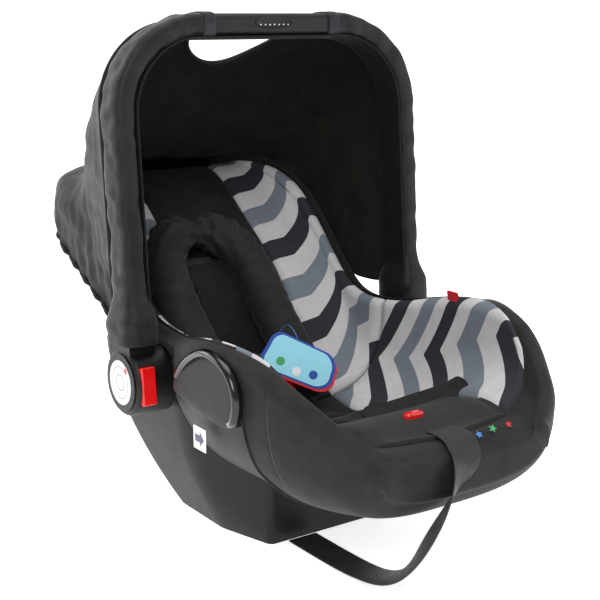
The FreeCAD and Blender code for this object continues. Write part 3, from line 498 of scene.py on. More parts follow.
def fold_noise(points, size, stretch=(1, 1, 1), seed=0.0):
    """Smooth noise from -1 to 1 at each point; stretch makes it run along folds."""
    scaled = np.asarray(points).reshape(-1, 3) * (np.array(stretch) / size) + seed
    values = np.array([noise.noise(Vector(p)) for p in scaled])
    return values.reshape(np.asarray(points).shape[:-1])


# ------------------------------------------------------------------ free strap of the adjuster

STRAP_WIDTH = 0.040
STRAP_THICK = 0.0018
TAIL_LINE = [
    (-302, 183.0), (-326, 184.5), (-347, 173.0), (-358, 147.0), (-357, 115.0),
    (-347, 85.0), (-330, 58.0), (-308, 36.0), (-281, 20.0), (-250, 10.0), (-218, 5.5),
    (-186, 4.0), (-153, 3.5), (-114, 3.5),
]


def nurbs_points(name, controls):
    """Points along the NURBS spline with these control points."""
    curve = bpy.data.curves.new(name, "CURVE")
    curve.dimensions = "3D"
    curve.resolution_u = 12
    spline = curve.splines.new("NURBS")
    spline.points.add(len(controls) - 1)
    for point, control in zip(spline.points, controls):
        point.co = (*control, 1.0)
    spline.order_u = 3
    spline.use_endpoint_u = True
    holder = bpy.data.objects.new(name, curve)
    bpy.context.scene.collection.objects.link(holder)
    bpy.context.view_layer.update()
    evaluated = holder.evaluated_get(bpy.context.evaluated_depsgraph_get())
    mesh = bpy.data.meshes.new_from_object(evaluated)
    points = np.array([v.co for v in mesh.vertices], float)
    bpy.data.meshes.remove(mesh)
    bpy.data.objects.remove(holder)
    bpy.data.curves.remove(curve)
    return points


TAIL_DRIFT = -58.0
TAIL_SWING = 2.3
TAIL_TWIST = 52.0


def tail_drift(z):
    """Millimetres to the left of the middle at each height of the hanging strap."""
    down = np.clip((180.0 - z) / 180.0, 0, 1)
    return TAIL_DRIFT * np.sin(TAIL_SWING * down)


strap_route = nurbs_points("strap_route",
                           place([(tail_drift(z), y, z) for y, z in TAIL_LINE]))
hanging = np.sin(np.clip((strap_route[:, 2] - 0.01) / 0.16, 0, 1) * math.pi) ** 0.7
twist = np.radians(TAIL_TWIST) * hanging
strap_side = np.stack([np.cos(twist), np.sin(twist), 0 * twist], 1)
adjuster_tail = ribbon("adjuster_tail", strap_route, STRAP_WIDTH, STRAP_THICK, "seat", "webbing",
                       "webbing", ("adjuster_strap",), side_hint=strap_side)


# ------------------------------------------------------------------ outline of the seat body
# station, half width of the cover, rim height, underside, seat surface

STATIONS = np.array([
    (-346, 108, 176, 140, 168), (-332, 136, 194, 120, 177), (-305, 160, 219, 106, 177),
    (-270, 178, 244, 100, 179), (-230, 190, 264, 97, 174), (-171, 196, 271, 94, 152),
    (-110, 192, 264, 92, 127), (-49, 176, 252, 91, 123), (0, 167, 249, 95, 144),
    (50, 167, 261, 108, 199), (85, 168, 288, 127, 252), (120, 168, 324, 149, 290),
    (156, 167, 362, 182, 318), (192, 162, 386, 210, 344), (242, 150, 397, 284, 381),
    (285, 128, 396, 336, 394), (318, 96, 388, 366, 387),
], float)
POWER = 2 / 3.2
CAVITY_SIDE = 25.5
ROLL = 12.75
COVER_BELOW = 6.0
TABLE_Y = np.arange(-346, 318.1, 2.0)
PART_COUNTS = (60, 24, 60)


def even_line(points, count):
    """The same open line as evenly spaced points."""
    length = run_length(points)
    at = np.linspace(0, length[-1], count)
    return np.stack([np.interp(at, length, points[:, k]) for k in range(2)], 1)


def half_section(half, rim, under, seat):
    """(x, z) from the middle of the seat up, over the rolled rim and down below."""
    depth = rim - min(seat, rim - 3.0)
    roll = min(ROLL, 0.3 * depth)
    angle = np.linspace(math.pi / 2, math.asin((roll / depth) ** (1 / POWER)), 90)
    inner = np.stack([(half - CAVITY_SIDE) * np.cos(angle) ** POWER,
                      rim - depth * np.sin(angle) ** POWER], 1)
    start = inner[-1]
    turn = np.linspace(0, math.pi / 2, 12)
    up = np.stack([start[0] + roll * (1 - np.cos(turn)), rim - roll * (1 - np.sin(turn))], 1)
    down = np.stack([half - ROLL * (1 - np.sin(turn)), rim - ROLL * (1 - np.cos(turn))], 1)
    over = np.concatenate([up, down])
    below = rim - under + COVER_BELOW
    angle = np.linspace(math.asin((ROLL / below) ** (1 / POWER)), math.pi / 2, 90)
    outer = np.stack([half * np.cos(angle) ** POWER, rim - below * np.sin(angle) ** POWER], 1)
    lines = [even_line(line, count + 1) for line, count in zip((inner, over, outer), PART_COUNTS)]
    return np.concatenate([lines[0][:-1], lines[1][:-1], lines[2]])


OUTLINE = [natural_spline(STATIONS[:, 0], STATIONS[:, k], TABLE_Y) for k in range(1, 5)]
TABLE = np.array([half_section(*row) for row in zip(*OUTLINE)])
COLUMNS = TABLE.shape[1] - 1
PART_STARTS = np.array([0, PART_COUNTS[0], PART_COUNTS[0] + PART_COUNTS[1], COLUMNS], float)


def surface(y, q):
    """Points of the upholstery: q is 0 in the middle of the seat, 1 to 2 over the rim and
    3 in the middle below; a negative q is on the left."""
    y, q = np.broadcast_arrays(np.asarray(y, float), np.asarray(q, float))
    row = np.clip((y - TABLE_Y[0]) / 2.0, 0, len(TABLE_Y) - 1.001)
    column = np.clip(np.interp(np.abs(q), range(4), PART_STARTS), 0, COLUMNS - 0.001)
    i, j = row.astype(int), column.astype(int)
    fi, fj = (row - i)[..., None], (column - j)[..., None]
    flat = ((TABLE[i, j] * (1 - fj) + TABLE[i, j + 1] * fj) * (1 - fi)
            + (TABLE[i + 1, j] * (1 - fj) + TABLE[i + 1, j + 1] * fj) * fi)
    return np.stack([flat[..., 0] * np.where(q < 0, -1, 1), y, flat[..., 1]], -1)


def q_of(y, value, axis, part):
    """Where on one part of the section (0 inside, 2 outside) x or z takes a value."""
    result = []
    for station, wanted in zip(*np.broadcast_arrays(np.atleast_1d(y), value)):
        q = np.linspace(part, part + 1, 121)
        line = surface(station, q)[:, axis]
        if line[0] > line[-1]:
            q, line = q[::-1], line[::-1]
        result.append(np.interp(wanted, line, q))
    return np.array(result)


def girth(y, q):
    """Millimetres along the section at y from the middle of the seat to each q."""
    grid = np.linspace(0, 2.2, 133)
    result = np.zeros(np.shape(q))
    for i, station in enumerate(y):
        result[i] = np.interp(q[i], grid, run_length(surface(station, grid)))
    return result


def border_distance(grid, sides=(True, True, True, True)):
    """For each grid point, millimetres along the grid to the nearest chosen border:
    first row, last row, first column, last column."""
    down = np.linalg.norm(np.diff(grid, axis=0), axis=2).cumsum(0)
    down = np.concatenate([np.zeros((1, grid.shape[1])), down])
    over = np.linalg.norm(np.diff(grid, axis=1), axis=2).cumsum(1)
    over = np.concatenate([np.zeros((grid.shape[0], 1)), over], 1)
    options = (down, down[-1:] - down, over, over[:, -1:] - over)
    chosen = [option for option, used in zip(options, sides) if used]
    return np.min(chosen, axis=0)


def upholster(name, grid, side, puff, thick, material, slot, replaces=(), valley=1.2,
              edge=11.0, print_uv=None, seams=(True, True, True, True), wrinkle=0.5, body="seat"):
    """A padded closed panel on a grid of millimetre points: crowned, pulled in at its seams."""
    normal = outward_normals(grid, (grid.shape[0] // 2, grid.shape[1] // 2), 2, side)
    near = np.clip(border_distance(grid, seams) / edge, 0, 1)
    height = puff * np.sin(near * math.pi / 2) - valley * (1 - near) ** 2
    height = height + wrinkle * near * fold_noise(grid, 45.0, (1, 1.6, 1), 3.7)
    front = grid + normal * height[..., None]
    back = grid - normal * thick
    points, faces = slab(place(front), place(back))
    if print_uv is not None:
        print_uv = np.concatenate([print_uv.reshape(-1, 2)] * 2)
    return build(name, points, faces, body, material, slot, print_uv, replaces)


# chevron print: widths and places in millimetres; each zigzag is (girth or distance below the
# rim, shift of the bands there)
BANDS_IN_REPEAT = 4.0
WING_BAND = 31.0
WING_FIRST = 238.0
WING_ZIGZAG = ([60.0, 100.0, 156.0, 182.0], [0.0, 0.0, 28.0, 4.0])
THIGH_EDGES = [40, 15, -8, -30, -52, -74, -94, -118, -144, -178, -212, -246, -280, -314]
THIGH_FIRST = 2
THIGH_ZIGZAG = ([-30.0, 0.0, 58.0, 126.0, 182.0], [45.0, 30.0, 0.0, 54.0, 85.0])
INNER_SEAM = 67.0
WING_SPINE = 90.0
WING_ENDS = (-19.0, 288.0)
THIGH_REAR = -21.0
SIDE_PUFF = 4.0
PANEL_THICK = 9.0
RIM_SEAM = 1.40


def wing_panel(name, side):
    y = np.linspace(*WING_ENDS, 110)
    low = q_of(y, INNER_SEAM, 0, 0)
    q = low[:, None] + (RIM_SEAM - low)[:, None] * np.linspace(0, 1, 70)
    grid = surface(y[:, None], side * q)
    across = girth(y, q)
    along = run_length(surface(y, q_of(y, WING_SPINE, 0, 0)))
    along = np.interp(WING_FIRST, y, along) - along
    bands = (along[:, None] + np.interp(across, *WING_ZIGZAG)) / WING_BAND
    print_uv = np.stack([bands / BANDS_IN_REPEAT, across / 100.0], -1)
    return upholster(name, grid, 1, SIDE_PUFF, PANEL_THICK, "chevron", "chevron_fabric",
                     ("wing_pad_" + name.split("_")[-1],), print_uv=print_uv)


THIGH_SEAM = ([-20.0, -60.0, -120.0, -200.0, -304.0], [67.0, 72.0, 100.0, 108.0, 97.0])


def thigh_panel(name, side):
    """From the hip seam to the front, where its end runs down from the rim."""
    across_share = np.linspace(0, 1, 70)
    front = np.interp(across_share, [0, 0.25, 0.5, 0.7, 0.85, 1.0],
                      [-302.0, -290.0, -266.0, -246.0, -222.0, -186.0])
    share = np.linspace(0, 1, 110)
    y = THIGH_REAR + (front[None] - THIGH_REAR) * share[:, None]
    low = q_of(y.ravel(), np.interp(-y.ravel(), -np.array(THIGH_SEAM[0]), THIGH_SEAM[1]), 0, 0)
    low = low.reshape(y.shape)
    q = low + (RIM_SEAM - low) * across_share[None]
    grid = surface(y, side * q)
    from_rim = np.linalg.norm(np.diff(grid, axis=1), axis=2).cumsum(1)
    from_rim = from_rim[:, -1:] - np.concatenate([np.zeros((len(share), 1)), from_rim], 1) - 22.0
    moved = y + np.interp(from_rim, *THIGH_ZIGZAG)
    bands = np.interp(-moved, -np.array(THIGH_EDGES), np.arange(len(THIGH_EDGES)) - THIGH_FIRST)
    print_uv = np.stack([bands / BANDS_IN_REPEAT, from_rim / 100.0], -1)
    return upholster(name, grid, 1, SIDE_PUFF, PANEL_THICK, "chevron", "chevron_fabric",
                     ("thigh_pad_" + name.split("_")[-1],), print_uv=print_uv)


for side_name, side in SIDES:
    wing_panel("wing_panel_" + side_name, side)
    thigh_panel("thigh_panel_" + side_name, side)


def middle_panel(name, y_from, y_to, seam, rows, material, slot, replaces, **more):
    """A panel across the middle of the seat between its two side seams."""
    share = np.linspace(-1, 1, 60)
    y_start = np.broadcast_to(y_from(np.abs(share)), share.shape)
    y_end = np.broadcast_to(y_to(np.abs(share)), share.shape)
    y = y_start[None] + (y_end - y_start)[None] * np.linspace(0, 1, rows)[:, None]
    x = seam(y)
    q = q_of(y.ravel(), x.ravel(), 0, 0).reshape(y.shape) * share[None]
    return upholster(name, surface(y, q), 1, material=material, slot=slot, replaces=replaces,
                     **more)


def crease(share):
    """Where the front bolster starts, by share of the half width."""
    return -153.0 - 46.0 * share ** 1.5


def thigh_seam(y):
    return np.interp(-y, -np.array(THIGH_SEAM[0]), THIGH_SEAM[1])


back_panel = middle_panel("back_panel", lambda s: WING_ENDS[0] + 0 * s,
                          lambda s: WING_ENDS[1] + 0 * s,
                          lambda y: np.full_like(y, INNER_SEAM - 0.5), 90, "back",
                          "charcoal_fabric", ("back_pad", "foam_liner"), puff=3.0,
                          thick=PANEL_THICK)
seat_panel = middle_panel("seat_panel", lambda s: THIGH_REAR + 0 * s, crease,
                          lambda y: thigh_seam(y) - 0.5, 60, "back", "charcoal_fabric",
                          ("seat_pad",), puff=2.0, thick=PANEL_THICK)
bolster_top = middle_panel("bolster_top", crease, lambda s: -318.0 + 14.0 * s,
                           lambda y: thigh_seam(y) - 0.5, 70, "charcoal", "charcoal_fabric", (),
                           puff=5.0, thick=6.0, edge=26.0, valley=2.0,
                           seams=(True, False, True, True))


# ------------------------------------------------------------------ outer cover

SKIRT_EDGE = np.array([
    (-252, 96), (-245, 104), (-219, 147), (-216, 178), (-213, 236), (-206, 246), (-188, 262),
    (-157, 264), (-110, 242), (-73, 212), (-50, 214), (-46, 243), (46, 243), (60, 226),
    (100, 236), (150, 282), (200, 330), (250, 362), (318, 376),
], float)
SIDE_FRONT = -251.0


def cover_side(name, side):
    """The side of the cover, from the seam on the rim down to its bound edge."""
    y = np.unique(np.concatenate([np.linspace(SIDE_FRONT, 300.0, 150), SKIRT_EDGE[:-1, 0],
                                  SKIRT_EDGE[2:-1, 0] - 1.5]))
    y = y[(y >= SIDE_FRONT) & (y <= 300.0)]
    top = np.interp(-y, [-300.0, 170.0, 190.0, 215.0, 235.0, 252.0],
                    [1.36, 1.36, 1.32, 1.0, 0.9, 0.72])
    end = q_of(y, np.interp(y, *SKIRT_EDGE.T), 2, 2)
    end = np.minimum(end, 2.93)
    q = top[:, None] + (end - top)[:, None] * np.linspace(0, 1, 60)
    grid = surface(y[:, None], side * q)
    outwards = outward_normals(grid, (len(y) // 2, 30), 0, side)
    soft = fold_noise(grid, 60.0, (1, 1, 1.6), 9.1) * 1.2
    soft = soft * np.clip(border_distance(grid) / 15.0, 0, 1)
    front = grid + outwards * soft[..., None]
    back = grid - outwards * 4.4
    points, faces = slab(place(front), place(back))
    piece = build(name, points, faces, "seat", "charcoal", "charcoal_fabric",
                  replaces=("cover_side_" + name.split("_")[-1],))
    edge_line = smooth_line(place(front[2:-2, -1]), 240)
    tube(name.replace("side", "edge"), edge_line, 0.0019, "seat", "binding", (0, 0, 1), 8,
         "charcoal_fabric")
    return piece


PIPING_ENDS = (-184.0, 286.0)
PIPING_LIFT = 0.8
PIPING_RADIUS = 0.0017
for side_name, side in SIDES:
    cover_side("side_cover_" + side_name, side)
    piping = surface(np.linspace(*PIPING_ENDS, 200), side * RIM_SEAM) + (0.0, 0.0, PIPING_LIFT)
    tube("rim_piping_" + side_name, place(smooth_line(piping, 240)), PIPING_RADIUS, "seat",
         "binding", (0, 0, 1), 8, "charcoal_fabric")


def rounded_lip(name, y_rows, material, slot, replaces, radius, direction):
    """Closed end of the upholstery: sections in turn, then rounded in towards its tip."""
    q = np.concatenate([np.linspace(-3, -2, 50), np.linspace(-2, -1, 20)[1:],
                        np.linspace(-1, 1, 80)[1:-1], np.linspace(1, 2, 20)[:-1],
                        np.linspace(2, 3, 50)[:-1]])
    sections = [surface(y, q) for y in y_rows]
    last = sections[-1]
    tip = sections[-1][:, 1][0]
    centre = np.array([0.0, tip, (last[:, 2].max() + last[:, 2].min()) / 2])
    spread = np.abs(last - centre)
    for turn in np.linspace(0.2, 1.0, 6) * math.pi / 2:
        shrink = radius * (1 - math.cos(turn))
        moved = last.copy()
        for axis in (0, 2):
            away = last[:, axis] - centre[axis]
            moved[:, axis] = centre[axis] + np.sign(away) * np.maximum(spread[:, axis] - shrink, 0)
        moved[:, 1] = tip + direction * radius * math.sin(turn)
        sections.append(moved)
    points, faces = rings(place(np.array(sections)))
    return build(name, points, faces, "seat", material, slot, replaces=replaces)


cover_front = rounded_lip("front_cover", np.concatenate([np.linspace(-250, -338, 40), [-341.0]]),
                          "charcoal", "charcoal_fabric", ("cover_front",), 9.0, -1)
cover_head = rounded_lip("head_cover", np.linspace(284, 312, 14), "charcoal",
                         "charcoal_fabric", (), 8.0, 1)


# ------------------------------------------------------------------ canopy

LEAN = math.radians(4.5)
ARCH_HALF = 200.0
ARCH_HEIGHT = 398.0
ARCH_CORNER = 101.0
HUB_ROW = float(HINGE[2])
FLARE_START = 20.0
FLARE_END = 62.0


def leaned(points):
    """Points in the handle's own plane, x across and z up its arms, as seat points."""
    points = np.asarray(points, float)
    out = points.copy()
    out[..., 1] = points[..., 1] * math.cos(LEAN) + points[..., 2] * math.sin(LEAN)
    out[..., 2] = points[..., 2] * math.cos(LEAN) - points[..., 1] * math.sin(LEAN)
    return out


def arch_line(side, start, inner_end, step=2.5):
    """The handle's centre line from height start on one arm to x inner_end on the bar."""
    straight = np.arange(start, ARCH_HEIGHT - ARCH_CORNER, step)
    arm = np.stack([np.full_like(straight, -ARCH_HALF), 0 * straight, straight], 1)
    turn = np.arange(0, math.pi / 2, step / ARCH_CORNER)
    bend = np.stack([-ARCH_HALF + ARCH_CORNER * (1 - np.cos(turn)), 0 * turn,
                     ARCH_HEIGHT - ARCH_CORNER + ARCH_CORNER * np.sin(turn)], 1)
    level = np.arange(-ARCH_HALF + ARCH_CORNER, -inner_end, step)
    bar = np.stack([level, 0 * level, np.full_like(level, ARCH_HEIGHT)], 1)
    line = np.concatenate([arm, bend, bar])
    line[:, 0] *= -side
    return line


def wrapped(name, line, width, depth, corner, material, slot, body, replaces=(), folds=0.0,
            fold_size=26.0, seed=0.0, sides=56, flare=0.0):
    """Cloth wrapped round the handle: a rounded rectangle swept along it, with folds.
    Its start is wider by the flare, which fades from FLARE_START to FLARE_END millimetres."""
    fore = np.array([0.0, 1.0, 0.0])
    out = np.cross(tangents(line), fore)
    angle = circle(sides)
    power = 2 / (2 + 3.5 * (1 - corner))
    a = width / 2 * np.sign(np.cos(angle)) * np.abs(np.cos(angle)) ** power
    b = depth / 2 * np.sign(np.sin(angle)) * np.abs(np.sin(angle)) ** power
    length = run_length(line)
    fade = np.clip((FLARE_END - length) / (FLARE_END - FLARE_START), 0, 1)[:, None, None]
    wide = 1 + flare * fade * fade * (3 - 2 * fade)
    sections = (line[:, None] + wide * (out[:, None] * a[None, :, None]
                                        + fore * b[None, :, None] * 0.6)
                + fore * b[None, :, None] * 0.4)
    if folds:
        away = sections - line[:, None]
        away /= np.linalg.norm(away, axis=2, keepdims=True)
        creases = fold_noise(np.stack(np.broadcast_arrays(length[:, None] + a[None] * 0.5,
                                                          b[None] * 0.35, angle[None] * 6.0), -1),
                             fold_size, (1, 1, 1), seed)
        soft = fold_noise(sections, 70.0, (1, 1, 1), seed + 5)
        edge = np.clip(np.minimum(length, length[-1] - length) / 12.0, 0.2, 1)[:, None]
        sections = sections + away * ((creases * folds + soft * folds * 0.5) * edge)[..., None]
    points, faces = rings(place(leaned(sections), HUB_ROW))
    return build(name, points, faces, body, material, slot, replaces=replaces)


# where along the handle the sleeve and its gathered cuff by the grip run, from a height up the
# arm to a distance from the middle of the bar, and their width and depth
SLEEVE_START = 44.0
SLEEVE_END = 83.0
SLEEVE_SIZE = (26.6, 46.6)
CUFF_FROM = 62.0
CUFF_END = 79.0
CUFF_SIZE = (31.0, 50.0)
CUFF_ROWS = 20
for side_name, side in SIDES:
    sleeve = wrapped("sleeve_" + side_name, arch_line(side, SLEEVE_START, SLEEVE_END),
                     *SLEEVE_SIZE, 0.62, "sleeve", "canopy_fabric", "handle",
                     ("canopy_sleeve_" + side_name,),
                     folds=2.6, fold_size=17.0, seed=11.0 + side * 4, flare=0.72)
    cuff_line = arch_line(side, CUFF_FROM, CUFF_END, 0.8)[-CUFF_ROWS:]
    ruffle = wrapped("cuff_" + side_name, cuff_line, *CUFF_SIZE, 0.7, "cuff", "canopy_fabric",
                     "handle", folds=1.6, fold_size=7.0, seed=31.0 + side)

# inner facing of the sleeve, black, along the arms and under the bar
FACING_OFFSET = 14.2
FACING_WIDTH = 0.045
FACING_THICK = 0.0022
FACING_START = 52.0
facing = arch_line(-1, FACING_START, 0.0, 3.0)
facing = np.concatenate([facing, (facing * (-1, 1, 1))[::-1][1:]])
facing_in = np.cross(np.array([0.0, 1.0, 0.0]), tangents(facing))
if facing_in[0, 0] < 0:
    facing_in = -facing_in
facing_line = place(leaned(facing + facing_in * FACING_OFFSET), HUB_ROW)
ribbon("sleeve_facing", facing_line, FACING_WIDTH, FACING_THICK, "handle", "binding",
       "canopy_fabric", side_hint=(0.0, math.cos(LEAN), -math.sin(LEAN)), uv=False)

HOOD_ROWS = np.array([
    # foot and crown of each hoop from the hinge axis, half width, corner radius
    (30.0, 60.0, 56.0, 402.0, 211.0, 100.0),
    (44.0, 60.0, 150.0, 352.0, 193.0, 104.0),
    (60.0, 62.0, 204.0, 272.0, 181.0, 98.0),
    (77.0, 66.0, 250.0, 226.0, 176.0, 88.0),
    (98.0, 70.0, 296.0, 217.0, 175.5, 82.0),
    (106.0, 58.0, 324.0, 203.0, 174.0, 80.0),
    (100.0, 44.0, 330.0, 178.0, 173.5, 80.0),
    (88.0, 34.0, 318.0, 150.0, 173.0, 80.0),
])
HOOD_THICK = 1.6
CUT_HALF = 78.0
CUT_DEPTH = 0.225


def hoop_points(rows, share):
    """Points of the hood: share is 0 at the left foot, 0.5 at the crown and 1 at the right."""
    foot_y, foot_z, crown_y, crown_z, half, corner = rows.T
    foot = np.stack([0 * foot_y, foot_y, foot_z], 1)
    rise = np.stack([0 * foot_y, crown_y - foot_y, crown_z - foot_z], 1)
    tall = np.linalg.norm(rise, axis=1)
    rise /= tall[:, None]
    straight = tall - corner
    bend = corner * math.pi / 2
    level = half - corner
    total = straight + bend + level
    run = (1 - np.abs(2 * share - 1)) * total[:, None]
    up = np.minimum(run, straight[:, None])
    turn = np.clip((run - straight[:, None]) / corner[:, None], 0, math.pi / 2)
    x = half[:, None] - corner[:, None] * (1 - np.cos(turn))
    x = x - np.clip(run - straight[:, None] - bend[:, None], 0, None)
    up = up + corner[:, None] * np.sin(turn)
    x = np.where(share < 0.5, -x, x)
    return foot[:, None] + rise[:, None] * up[..., None] + x[..., None] * np.array([1.0, 0, 0])


def hood_grid(rows, columns):
    share = np.linspace(0, 1, columns)
    first = hoop_points(HOOD_ROWS[:1], share[None].repeat(1, 0))[0]
    inside = np.clip(1 - (first[:, 0] / CUT_HALF) ** 2, 0, 1)
    on_top = np.abs(share - 0.5) < 0.25
    begin = np.where(on_top, CUT_DEPTH * inside ** 0.55, 0.0)
    along = begin[None] + (1 - begin[None]) * np.linspace(0, 1, rows)[:, None]
    knots = np.array([0.0, 0.22, 0.44, 0.6, 0.74, 0.84, 0.92, 1.0])
    grid = np.zeros((rows, columns, 3))
    for j in range(columns):
        values = np.stack([natural_spline(knots, HOOD_ROWS[:, k], along[:, j])
                           for k in range(6)], 1)
        grid[:, j] = hoop_points(values, np.full((rows, 1), share[j]))[:, 0]
    return grid, along


grid, along = hood_grid(110, 200)
outward = outward_normals(grid, (60, 100), 2)
# the hood sags, ripples across and is pulled towards its feet, all fading at its borders
calm = np.clip(border_distance(grid) / 30.0, 0, 1)
sag = fold_noise(grid, 90.0, (1.0, 1.0, 1.0), 2.5) * 6.0
ripples = fold_noise(grid, 34.0, (1.0, 0.45, 1.5), 7.7) * 3.4
near_foot = np.clip(1 - (grid[..., 2] - 60.0) / 230.0, 0, 1)
pulls = fold_noise(grid, 24.0, (1.0, 1.5, 0.4), 15.2) * 3.0 * near_foot
grid = grid + outward * ((sag + ripples + pulls) * calm - 1.0)[..., None]
hem_pull = np.clip((along - 0.93) / 0.07, 0, 1)
gather = np.sin(np.linspace(0, 150, grid.shape[1]))[None] * 1.3 * hem_pull
grid = grid + outward * gather[..., None]
points, faces = slab(place(grid, HUB_ROW), place(grid - outward * HOOD_THICK, HUB_ROW))
inner_faces = len(grid_faces(*grid.shape[:2]))
hood = build("canopy_hood_cloth", points, faces, None, ("canopy", "lining"), "canopy_fabric",
             replaces=("canopy_hood",),
             face_material=[0] * inner_faces + [1] * (len(faces) - inner_faces))
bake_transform(hood)
EDGE_ROWS = 320
EDGE_RADIUS = 0.0034
HEM_RADIUS = 0.0032
HEM_GATHER = 0.0005
front_edge = smooth_line(place(grid[0] - outward[0] * 2.0, HUB_ROW), EDGE_ROWS)
edge_tube = tube("hood_front_binding", front_edge, EDGE_RADIUS, None, "binding", (0.0, 1.0, 0.2),
                 10, "canopy_fabric")
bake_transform(edge_tube)
rear_edge = smooth_line(place(grid[-1], HUB_ROW), EDGE_ROWS)
hem_radius = HEM_RADIUS + HEM_GATHER * np.sin(np.linspace(0, 300, EDGE_ROWS))
hem_tube = tube("hood_hem", rear_edge, hem_radius, None, "binding", (0.0, 0.3, 1.0), 10,
                "canopy_fabric")
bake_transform(hem_tube)


# ------------------------------------------------------------------ handle details

def local_to_row(points):
    return place(leaned(points), HUB_ROW)


# oval thumb pad on the front of the grip, with a row of dots; its layers are (share of the
# outline, distance in front of the grip, backwards positive)
GRIP_FRONT = -23.0
PAD_HALF = (26.0, 7.0)
PAD_MIDDLE = np.array([0.0, 0.0, ARCH_HEIGHT + 1.5])
PAD_LAYERS = ((1.0, 0.4), (1.0, -0.7), (0.93, -1.0), (0.88, -0.5), (0.5, -0.45), (0.04, -0.4))
turn = circle(72)
oval = np.stack([PAD_HALF[0] * np.cos(turn), np.full_like(turn, GRIP_FRONT),
                 PAD_HALF[1] * np.sign(np.sin(turn)) * np.abs(np.sin(turn)) ** 0.8], 1)
sections = np.array([oval * (scale, 1, scale) + PAD_MIDDLE + (0, lift, 0)
                     for scale, lift in PAD_LAYERS])
points, faces = rings(local_to_row(sections))
build("grip_pad", points, faces, "handle", "satin", "grip_rubber")


def dome(name, centre, radius, height, direction, body, material, slot=None):
    """A small round stud standing on a surface."""
    rise = Vector(direction).normalized()
    first = rise.orthogonal().normalized()
    second = rise.cross(first)
    sections = []
    for level in np.linspace(0, 0.95, 6) * math.pi / 2:
        ring = [Vector(centre) + (first * math.cos(t) + second * math.sin(t))
                * radius * math.cos(level) + rise * height * math.sin(level)
                for t in circle(16)]
        sections.append([list(p) for p in ring])
    points, faces = rings(np.array(sections))
    return build(name, points, faces, body, material, slot)


for index in range(7):
    spot = local_to_row(np.array([[(index - 3) * 6.4, GRIP_FRONT - 0.2, ARCH_HEIGHT - 1.0]]))[0]
    dome("grip_dot_%d" % (index + 1), spot, 0.0009, 0.0009, (0, -1, 0), "handle", "white",
         "grip_rubber")


# ------------------------------------------------------------------ newborn insert

INSERT_X = -26.0


CLOTH_VOXEL = 0.0045
CLOTH_FRAMES = 20
CLOTH_PRESSURE = 4.0


def cloth_puff(obj, cap):
    """Remeshes a closed piece and lets cloth pressure round it, each point moving at most cap."""
    remesh = obj.modifiers.new("remesh", "REMESH")
    remesh.mode = "VOXEL"
    remesh.voxel_size = CLOTH_VOXEL
    apply_modifiers(obj)
    rest = np.array([v.co for v in obj.data.vertices], float)
    cloth = obj.modifiers.new("cloth", "CLOTH")
    cloth.settings.use_pressure = True
    cloth.settings.uniform_pressure_force = CLOTH_PRESSURE
    cloth.settings.effector_weights.gravity = 0.0
    cloth.settings.quality = 5
    cloth.point_cache.frame_start = 1
    cloth.point_cache.frame_end = CLOTH_FRAMES
    for step in range(1, CLOTH_FRAMES + 1):
        bpy.context.scene.frame_set(step)
    evaluated = obj.evaluated_get(bpy.context.evaluated_depsgraph_get())
    moved = np.array([v.co for v in evaluated.data.vertices], float)
    obj.modifiers.remove(cloth)
    bpy.context.scene.frame_set(1)
    shift = moved - rest
    length = np.linalg.norm(shift, axis=1, keepdims=True)
    shift *= np.minimum(1.0, cap / np.maximum(length, 1e-9))
    obj.data.vertices.foreach_set("co", (rest + shift).ravel())
    obj.data.update()


def apply_modifiers(obj):
    evaluated = obj.evaluated_get(bpy.context.evaluated_depsgraph_get())
    mesh = bpy.data.meshes.new_from_object(evaluated)
    obj.modifiers.clear()
    old = obj.data
    obj.data = mesh
    bpy.data.meshes.remove(old)


def finish_soft(obj, body, replaces):
    subdivide = obj.modifiers.new("smooth", "SUBSURF")
    subdivide.levels = 1
    subdivide.render_levels = 1
    apply_modifiers(obj)
    obj.data.polygons.foreach_set("use_smooth", [True] * len(obj.data.polygons))
    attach(obj, body)
    if replaces:
        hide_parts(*replaces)


def insert_panel(name, y_from, y_to, half, thick, lift, round_end, material, replaces):
    """A flat padded panel lying on the seat, with rounded corners."""
    y = np.linspace(y_from, y_to, 60)
    near = np.minimum(np.abs(y - y_from), np.abs(y - y_to))
    width = half - round_end * (1 - np.sqrt(np.clip(1 - (1 - np.clip(near / round_end, 0, 1)) ** 2,
                                                    0, 1)))
    x = INSERT_X + width[:, None] * np.linspace(-1, 1, 40)[None]
    q = np.array([q_of(np.full(40, station), np.abs(row), 0, 0) * np.sign(row)
                  for station, row in zip(y, x)])
    base = surface(y[:, None], q)
    up = outward_normals(base, (30, 20), 2)
    crown = np.clip(border_distance(base) / 12.0, 0, 1) ** 0.5
    front = base + up * (lift + thick * (0.25 + 0.75 * crown))[..., None]
    back = base + up * lift
    points, faces = slab(place(front), place(back))
    piece = build(name, points, faces, None, material)
    cloth_puff(piece, 0.005)
    finish_soft(piece, "seat", replaces)
    border = np.concatenate([front[0], front[1:, -1], front[-1, ::-1][1:], front[::-1, 0][1:]])
    border = smooth_line(place(border - up[30, 20] * 1.5), 260)
    tube(name + "_binding", border, 0.0024, "seat", "binding", (0.3, 0.2, 1.0), 8,
         "insert_fabric")
    return piece


insert_panel("insert_body", y_from=-150.0, y_to=128.0, half=62.0, thick=9.0, lift=5.0,
             round_end=26.0, material="insert_flat", replaces=("body_pad",))

PILLOW_X = -50.0
PILLOW_RADIUS = 30.0
PILLOW_SWELL = 3.0
PILLOW_TILT = math.radians(45.0)
PILLOW_LOW = (33.0, 243.0)


